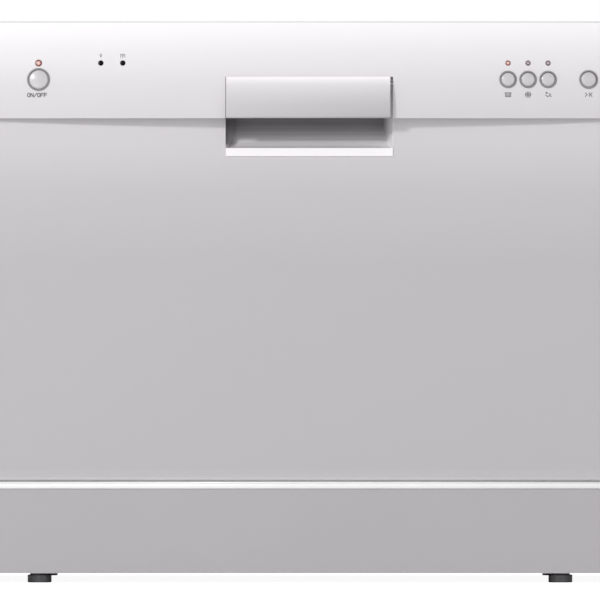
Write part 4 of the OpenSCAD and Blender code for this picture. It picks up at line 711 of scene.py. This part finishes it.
def screw_head(bm):
    """A pan head with a cross recess, pointing to +Y, 8 mm across and 2 mm high."""
    rings = [(0.0040, 0.0), (0.0040, 0.0007), (0.0035, 0.0015), (0.0026, 0.0019), (0.0018, 0.0020)]
    recess_r, recess_z, rim_z, middle_z = 0.0014, 0.0006, 0.0018, 0.0005
    sides, loops = 24, []

    def spot(i, r, y):
        return bm.verts.new((r * math.cos(math.tau * i / sides), y, r * math.sin(math.tau * i / sides)))

    for r, y in rings:
        loops.append([spot(i, r, y) for i in range(sides)])
    for a, b in zip(loops, loops[1:]):
        for i in range(sides):
            bm.faces.new((a[i], b[i], b[(i + 1) % sides], a[(i + 1) % sides]))
    bm.faces.new(loops[0])
    inner = [spot(i, recess_r, rim_z if i % 6 else recess_z) for i in range(sides)]
    for i in range(sides):
        bm.faces.new((loops[-1][i], inner[i], inner[(i + 1) % sides], loops[-1][(i + 1) % sides]))
    middle = bm.verts.new((0, middle_z, 0))
    for i in range(sides):
        bm.faces.new((inner[i], middle, inner[(i + 1) % sides]))


bm = bmesh.new()
screw_head(bm)
bmesh.ops.recalc_face_normals(bm, faces=bm.faces)
head_mesh = bpy.data.meshes.new("screw_head")
bm.to_mesh(head_mesh)
bm.free()
head_mesh.materials.append(ZINC)
head_object = bpy.data.objects.new("screw_head", head_mesh)
REAR_Y, SCREW_X, SCREW_Z0, SCREW_PITCH, TOP_SCREW_X, TOP_SCREW_Z = 0.240, 0.261, 0.0554, 0.108, 0.180, 0.430
screw_points = [[(s * SCREW_X, REAR_Y, SCREW_Z0 + i * SCREW_PITCH)] for s in SIDES for i in range(4)]
screw_points += [[(i * TOP_SCREW_X, REAR_Y, TOP_SCREW_Z)] for i in (-1, 0, 1)]
screws = grown("rear_screws", paths("screw_places", screw_points), screw_tree(ZINC, head_object),
               ZINC, "cabinet", "zinc", size=1.0)
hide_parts("cabinet_screws")
bpy.data.objects.remove(head_object)


# ---- The handle plate: a curved front, a rolled top edge that stands over the gap above it, and two cheeks
PLATE_X0, PLATE_X1, CHEEK_T, PLATE_T = -0.0576, 0.0704, 0.003, 0.003
PLATE_Y, PLATE_R, CURVE_Z, FOOT_R, ROLL_R = -0.250, 0.060, 0.3699, 0.0016, 0.0009
PLATE_AXIS_Y, PLATE_AXIS_Z, BOSS_R, PLATE_TOP = -0.236, 0.3888, 0.0046, 0.3947
BACK_DROP, NECK_RISE, CHEEK_INSET, CHEEK_LIFT, CHEEK_BACK_Y = 0.002, 0.0042, 0.0003, 0.0006, -0.241


def arc(cy, cz, r, a0, a1, steps):
    """Points on an arc in the plane across X, its angles in degrees from +Y towards +Z."""
    turns = [math.radians(a0 + (a1 - a0) * i / steps) for i in range(steps + 1)]
    return [(cy + r * math.cos(t), cz + r * math.sin(t)) for t in turns]


def prism(bm, outline, x0, x1):
    """A solid between two planes across X, from an outline of Y and Z."""
    near = [bm.verts.new((x0, y, z)) for y, z in outline]
    far = [bm.verts.new((x1, y, z)) for y, z in outline]
    bm.faces.new(near)
    bm.faces.new(far[::-1])
    for i in range(len(outline)):
        j = (i + 1) % len(outline)
        bm.faces.new((near[j], near[i], far[i], far[j]))


def handle_plate(bm):
    centre_y = PLATE_Y + PLATE_R
    rise = math.degrees(math.asin((PLATE_TOP - ROLL_R - CURVE_Z) / PLATE_R))
    front = arc(centre_y, CURVE_Z, PLATE_R, 180 - rise, 180, 18)
    front += arc(PLATE_Y + FOOT_R, FASCIA_Z0 + FOOT_R, FOOT_R, 180, 270, 5)
    roll_y = front[0][0] + ROLL_R * math.cos(math.radians(rise))
    roll_z = front[0][1] - ROLL_R * math.sin(math.radians(rise))
    roll = arc(roll_y, roll_z, ROLL_R, 20, 180 - rise, 8)
    boss_top, back_end = (PLATE_AXIS_Y, PLATE_AXIS_Z + BOSS_R), (PLATE_AXIS_Y, PLATE_AXIS_Z - BACK_DROP)
    inner_r = PLATE_R - PLATE_T
    under = math.degrees(math.asin((back_end[1] - CURVE_Z) / inner_r))
    back = [(PLATE_Y + PLATE_T, FASCIA_Z0)] + arc(centre_y, CURVE_Z, inner_r, 180, 180 - under, 14)
    neck = [(roll_y + ROLL_R, PLATE_AXIS_Z + NECK_RISE)]
    prism(bm, [boss_top] + neck + roll + front[1:] + back + [back_end], PLATE_X0, PLATE_X1)
    cheek_z = FASCIA_Z0 + CHEEK_LIFT
    cheek = arc(centre_y, CURVE_Z, PLATE_R - PLATE_T / 2, 180 - under, 180, 12)
    cheek += [(PLATE_Y + PLATE_T / 2, cheek_z), (CHEEK_BACK_Y, cheek_z), (PLATE_AXIS_Y + 0.004, PLATE_AXIS_Z)]
    for x in (PLATE_X0 + CHEEK_INSET, PLATE_X1 - CHEEK_T - CHEEK_INSET):
        prism(bm, cheek, x, x + CHEEK_T)
    add_rod(bm, *[(x, PLATE_AXIS_Y, PLATE_AXIS_Z) for x in (PLATE_X0, PLATE_X1)], BOSS_R, 40)


plate = solid("handle_plate_moulding", handle_plate, HANDLE_SILVER, "handle", 0.0007, 3)
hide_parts("handle_plate")

# ---- Lamps, buttons and printed signs on the control panel
POWER_X, START_X = -0.2036, 0.2248
PROGRAM_X, WARNING_X = (0.162, 0.1776, 0.1932), (-0.1551, -0.138)
LAMP_H, BUTTON_H = 0.043, 0.0302
POWER_LENS_R, LENS_R, LENS_DEEP, LENS_PROUD = 0.00265, 0.00205, 0.0035, 0.0005
POWER_CAP_R, PROGRAM_CAP_R, START_CAP_R = 0.0075, 0.0054, 0.0059


def turned(bm, m, profile, sides=28):
    """A turned solid on a frame: radii and heights along its profile, from its foot to its top's middle."""
    loops = []
    for r, z in profile:
        turns = [math.tau * i / sides for i in range(sides if r else 1)]
        loops.append([bm.verts.new(m @ Vector((r * math.cos(a), r * math.sin(a), z))) for a in turns])
    for a, b in zip(loops, loops[1:]):
        for i in range(sides):
            j = (i + 1) % sides
            bm.faces.new((a[i], a[j], b[0]) if len(b) == 1 else (a[i], a[j], b[j], b[i]))
    bm.faces.new(loops[0][::-1])
    return loops


def dome(radius, low, high, rings=6):
    """A round top's profile, from its edge to its middle."""
    turns = [math.pi / 2 * k / rings for k in range(rings + 1)]
    return [(radius * math.cos(t) if t < math.pi / 2 else 0, low + (high - low) * math.sin(t)) for t in turns]


def crown(radius, low, high, rings=8):
    """A shallow crown's profile, part of a ball, from its edge to its middle."""
    ball = (radius ** 2 + (high - low) ** 2) / (2 * (high - low))
    spots = [radius * (1 - k / rings) for k in range(rings + 1)]
    return [(r, high - ball + math.sqrt(ball ** 2 - r ** 2)) for r in spots]


def lenses(name, places, radius, finish):
    """Low domes on the control panel, with a map from each one's centre."""
    bm = bmesh.new()
    uv = bm.loops.layers.uv.new("face")
    flat = {}
    for x in places:
        m = face_frame(x, LAMP_H)
        back = m.inverted()
        for loop in turned(bm, m, [(radius, -LENS_DEEP)] + dome(radius, 0, LENS_PROUD)):
            for v in loop:
                flat[v] = (back @ v.co).xy / radius
    for face in bm.faces:
        for corner in face.loops:
            corner[uv].uv = flat[corner.vert]
    mesh = bpy.data.meshes.new(name)
    bm.to_mesh(mesh)
    bm.free()
    return piece(name, mesh, finish, "door")


# The buttons' crowned caps, with the stems to their switches behind the panel
STEM_R, STEM_L, CAP_L, CAP_EDGE, CAP_PROUD = 0.0024, 0.0165, 0.004, 0.0004, 0.0013


def button_cap(bm, x, radius):
    profile = [(STEM_R, -STEM_L), (STEM_R, -CAP_L), (radius, -CAP_L), (radius, 0.0),
               (radius - 0.0001, CAP_EDGE * 0.6)]
    turned(bm, face_frame(x, BUTTON_H), profile + crown(radius - 0.0003, CAP_EDGE, CAP_PROUD), 40)


for node, x, radius in (("power_button", POWER_X, POWER_CAP_R),
                        ("program_button_1", PROGRAM_X[0], PROGRAM_CAP_R),
                        ("program_button_2", PROGRAM_X[1], PROGRAM_CAP_R),
                        ("program_button_3", PROGRAM_X[2], PROGRAM_CAP_R),
                        ("start_button", START_X, START_CAP_R)):
    made = solid(node + "_cap", lambda bm: button_cap(bm, x, radius), BUTTON_SILVER,
                 body_of(NODES[node])[0])
    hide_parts(node)

lamp = lenses("power_lamp_lens", [POWER_X], POWER_LENS_R, LAMP_RED)
lenses("program_lamp_lens_lit", PROGRAM_X[:1], LENS_R, LAMP_RED)
lenses("program_lamp_lenses", PROGRAM_X[1:], LENS_R, LAMP_DIM)
lenses("warning_lamp_lenses", WARNING_X, LENS_R, LAMP_OFF)
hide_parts("indicator_lenses")


def stroke(points, width, closed=False):
    """A line of one width as four-sided outlines, in millimetres."""
    out = []
    pts = list(points) + ([points[0]] if closed else [])
    for (x0, y0), (x1, y1) in zip(pts, pts[1:]):
        d = math.hypot(x1 - x0, y1 - y0)
        ex, ey = (x1 - x0) / d * width / 2, (y1 - y0) / d * width / 2
        out.append([(x0 - ex - ey, y0 - ey + ex), (x0 - ex + ey, y0 - ey - ex),
                    (x1 + ex + ey, y1 + ey - ex), (x1 + ex - ey, y1 + ey + ex)])
    return out


def round_points(cx, cy, r, sides):
    turns = [math.tau * i / sides for i in range(sides)]
    return [(cx + r * math.cos(a), cy + r * math.sin(a)) for a in turns]


def circle(r, width):
    return stroke(round_points(0, 0, r, 16), width, True)


def disc(cx, cy, r):
    return [round_points(cx, cy, r, 14)]


def letters(word, width, height, weight):
    """The plain capitals O, N, F and a slash, in strokes."""
    w = width / len(word)
    out = []
    for i, c in enumerate(word):
        x0, x1, h = i * w + 0.12 * w - width / 2, i * w + 0.84 * w - width / 2, height
        if c == "O":
            out += stroke([(x0, h * 0.25), (x0 + 0.2 * w, 0), (x1 - 0.2 * w, 0), (x1, h * 0.25),
                           (x1, h * 0.75), (x1 - 0.2 * w, h), (x0 + 0.2 * w, h), (x0, h * 0.75)],
                          weight, True)
        elif c == "N":
            out += stroke([(x0, 0), (x0, h), (x1, 0), (x1, h)], weight)
        elif c == "F":
            out += stroke([(x0, 0), (x0, h), (x1, h)], weight)
            out += stroke([(x0, h * 0.52), (x1 - 0.1 * w, h * 0.52)], weight)
        else:
            out += stroke([(x0, 0), (x1, h)], weight)
    return out


INK_OUT, INK_STEP = 0.00004, 0.000004


def printed(name, signs):
    """Signs in ink on the control panel: each a centre on the face and its outlines in millimetres."""
    bm = bmesh.new()
    for x, h, outlines in signs:
        for n, outline in enumerate(outlines):
            out = INK_OUT + INK_STEP * (n % 5)  # crossing strokes lie at heights of their own
            spots = [on_face(x + px / 1000, h + py / 1000, out)[0] for px, py in outline]
            bm.faces.new([bm.verts.new(spot) for spot in spots])
    bmesh.ops.recalc_face_normals(bm, faces=bm.faces)
    for face in bm.faces:
        if face.normal.y > 0:
            face.normal_flip()
    mesh = bpy.data.meshes.new(name)
    bm.to_mesh(mesh)
    bm.free()
    return piece(name, mesh, INK, "door", smooth=False)


def strokes(*lines):
    """Open lines, each a width and its points in millimetres."""
    return [outline for width, points in lines for outline in stroke(points, width)]


SIGNS = {
    "pan": strokes((0.5, [(-2, 1.2), (-2, -1.6), (2, -1.6), (2, 1.2)]), (0.6, [(-2.4, 1.3), (2.4, 1.3)]),
                   *[(0.5, [(x, 0.4), (x, -0.9)]) for x in (-1, 0, 1)]),
    "plate": circle(2.0, 0.5) + circle(0.9, 0.5) + strokes((0.4, [(-2.4, 0), (2.4, 0)])),
    "glass": disc(-1.2, 1.3, 0.75) + strokes((0.55, [(-2, -0.4), (-0.4, -1.6), (1.0, -0.6), (2.4, -1.6)]),
                                             (0.5, [(0.6, 0.9), (2.2, -0.1)])),
    "go": strokes((0.55, [(-2.6, 1.4), (-1.2, 0), (-2.6, -1.4)]), (0.55, [(0.6, 1.4), (0.6, -1.4)]),
                  (0.55, [(2.6, 1.4), (1.4, 0), (2.6, -1.4)])),
    "drop": stroke([(0, 1.6), (-0.8, 0.2), (0, -0.9), (0.8, 0.2)], 0.4, True),
    "comb": strokes((0.4, [(-1.6, 1.2), (-1.6, -1.2)]), (0.4, [(0, 1.4), (0, -1.4)]),
                    (0.4, [(1.6, 1.2), (1.6, -1.2)]), (0.35, [(-1.6, 1.2), (1.6, 1.2)]),
                    (0.35, [(-0.8, 0), (0.8, 0)])),
}
SIGN_H, WORD_H, WARNING_H, WORD_SHIFT = 0.0184, 0.0167, 0.0486, -0.0011
WORD_W, CAPITAL, WEIGHT = 15.6, 2.8, 0.6
printed("panel_signs", [
    (POWER_X + WORD_SHIFT, WORD_H, letters("ON/OFF", WORD_W, CAPITAL, WEIGHT)),
    (PROGRAM_X[0], SIGN_H, SIGNS["pan"]), (PROGRAM_X[1], SIGN_H, SIGNS["plate"]),
    (PROGRAM_X[2], SIGN_H, SIGNS["glass"]), (START_X, SIGN_H, SIGNS["go"]),
    (WARNING_X[0], WARNING_H, SIGNS["drop"]), (WARNING_X[1], WARNING_H, SIGNS["comb"])])

# ---- A rounded bead along the top of the white strip, which narrows the gap under the door
BEAD_Y, BEAD_Z, BEAD_R, BEAD_LOW_Z, BEAD_HALF = -0.2262, 0.0782, 0.0007, 0.0776, 0.2738


def trim_bead(bm):
    foot = [(BEAD_Y - BEAD_R, BEAD_LOW_Z), (BEAD_Y + BEAD_R, BEAD_LOW_Z)]
    prism(bm, arc(BEAD_Y, BEAD_Z, BEAD_R, 0, 180, 8) + foot, -BEAD_HALF, BEAD_HALF)


solid("plinth_trim_bead", trim_bead, TRIM_WHITE, "cabinet")

# ---- Mouldings and sheet parts with eased edges
for node, width, finish, slot in (
        ("control_fascia", 0.0007, WHITE_GLOSS, "white_gloss"),
        ("plinth_trim", 0.0004, TRIM_WHITE, "white_gloss"),
        ("cutlery_basket", 0.0004, GREY_PLASTIC, "grey_plastic"),
        ("dispenser", 0.0006, GREY_PLASTIC, "grey_plastic"),
        ("dispenser_lid", 0.0004, GREY_PLASTIC, "grey_plastic"),
        ("rinse_aid_cap", 0.0005, CAP_BLUE, "cap_blue"),
        ("fine_filter", 0.0005, GREY_PLASTIC, "grey_plastic"),
        ("salt_cap", 0.0006, PALE_PLASTIC, "pale_plastic"),
        ("spray_arm", 0.0008, STAINLESS, "stainless"),
        ("base_tray", 0.0006, DARK_PLASTIC, "dark_plastic"),
        ("latch_claw", 0.0004, PALE_PLASTIC, "pale_plastic"),
        ("rubber_feet", 0.0006, FOOT_GREY, "rubber_black"),
        ("inlet_connector", 0.0006, PALE_PLASTIC, "pale_plastic"),
        ("drain_connector", 0.0006, PALE_PLASTIC, "pale_plastic"),
        ("power_gland", 0.0006, BLACK_PLASTIC, "black_plastic")):
    eased(node, width, finish)

# ---- Studio: a white floor that keeps the shadow, a plain white world and four softboxes
FLOOR_WHITE, FLOOR_GLOW, FLOOR_HALF = 0.86, 0.94, 40.0
floor_mat = bpy.data.materials.new("studio_floor")
floor_mat.use_nodes = True
tree = floor_mat.node_tree
bsdf = tree.nodes["Principled BSDF"]
bsdf.inputs["Base Color"].default_value = (FLOOR_WHITE, FLOOR_WHITE, FLOOR_WHITE, 1)
bsdf.inputs["Roughness"].default_value = 0.9
bsdf.inputs["Specular IOR Level"].default_value = 0.1
path = tree.nodes.new("ShaderNodeLightPath")
seen = tree.nodes.new("ShaderNodeMath")
seen.operation = "MULTIPLY"
seen.inputs[1].default_value = FLOOR_GLOW
bsdf.inputs["Emission Color"].default_value = (1, 1, 1, 1)
tree.links.new(path.outputs["Is Camera Ray"], seen.inputs[0])
tree.links.new(seen.outputs[0], bsdf.inputs["Emission Strength"])
bm = bmesh.new()
bmesh.ops.create_grid(bm, x_segments=1, y_segments=1, size=FLOOR_HALF)
floor_mesh = bpy.data.meshes.new("floor")
bm.to_mesh(floor_mesh)
bm.free()
floor_mesh.materials.append(floor_mat)
floor = bpy.data.objects.new("floor", floor_mesh)
bpy.context.scene.collection.objects.link(floor)

SOFT, WHITE = 0.52, 1.0  # the world's level as a light, and as it is seen or mirrored
world = bpy.data.worlds.new("studio")
bpy.context.scene.world = world
world.use_nodes = True
tree = world.node_tree
tree.nodes.clear()
out = tree.nodes.new("ShaderNodeOutputWorld")
blend = tree.nodes.new("ShaderNodeMixShader")
for slot, strength in ((1, SOFT), (2, WHITE)):
    sky = tree.nodes.new("ShaderNodeBackground")
    sky.inputs["Color"].default_value = (1, 1, 1, 1)
    sky.inputs["Strength"].default_value = strength
    tree.links.new(sky.outputs[0], blend.inputs[slot])
path = tree.nodes.new("ShaderNodeLightPath")
factor = path.outputs["Is Camera Ray"]
for ray in ("Is Glossy Ray", "Is Transmission Ray"):
    either = tree.nodes.new("ShaderNodeMath")
    either.operation = "MAXIMUM"
    tree.links.new(factor, either.inputs[0])
    tree.links.new(path.outputs[ray], either.inputs[1])
    factor = either.outputs[0]
tree.links.new(factor, blend.inputs[0])
tree.links.new(blend.outputs[0], out.inputs[0])


def softbox(name, at, aim_z, size, power):
    """An area lamp aimed at a height over the middle of the floor."""
    data = bpy.data.lights.new(name, "AREA")
    data.shape, data.size, data.size_y, data.energy = "RECTANGLE", size[0], size[1], power
    lamp = bpy.data.objects.new(name, data)
    lamp.location = at
    lamp.rotation_euler = (Vector((0, 0, aim_z)) - Vector(at)).to_track_quat("-Z", "Y").to_euler()
    bpy.context.scene.collection.objects.link(lamp)


MIDDLE, PLINTH = 0.25, 0.12  # what the lamps aim at, in metres over the floor; powers are in watts
softbox("key", (-2.4, -4.0, 2.2), MIDDLE, (0.5, 0.5), 82)
softbox("fill", (2.0, -3.2, 1.0), MIDDLE, (2.2, 1.6), 10)
softbox("low", (-1.1, -3.6, 0.25), PLINTH, (1.2, 0.4), 7)
softbox("back", (0.6, 3.0, 1.8), MIDDLE, (2.0, 1.6), 30)
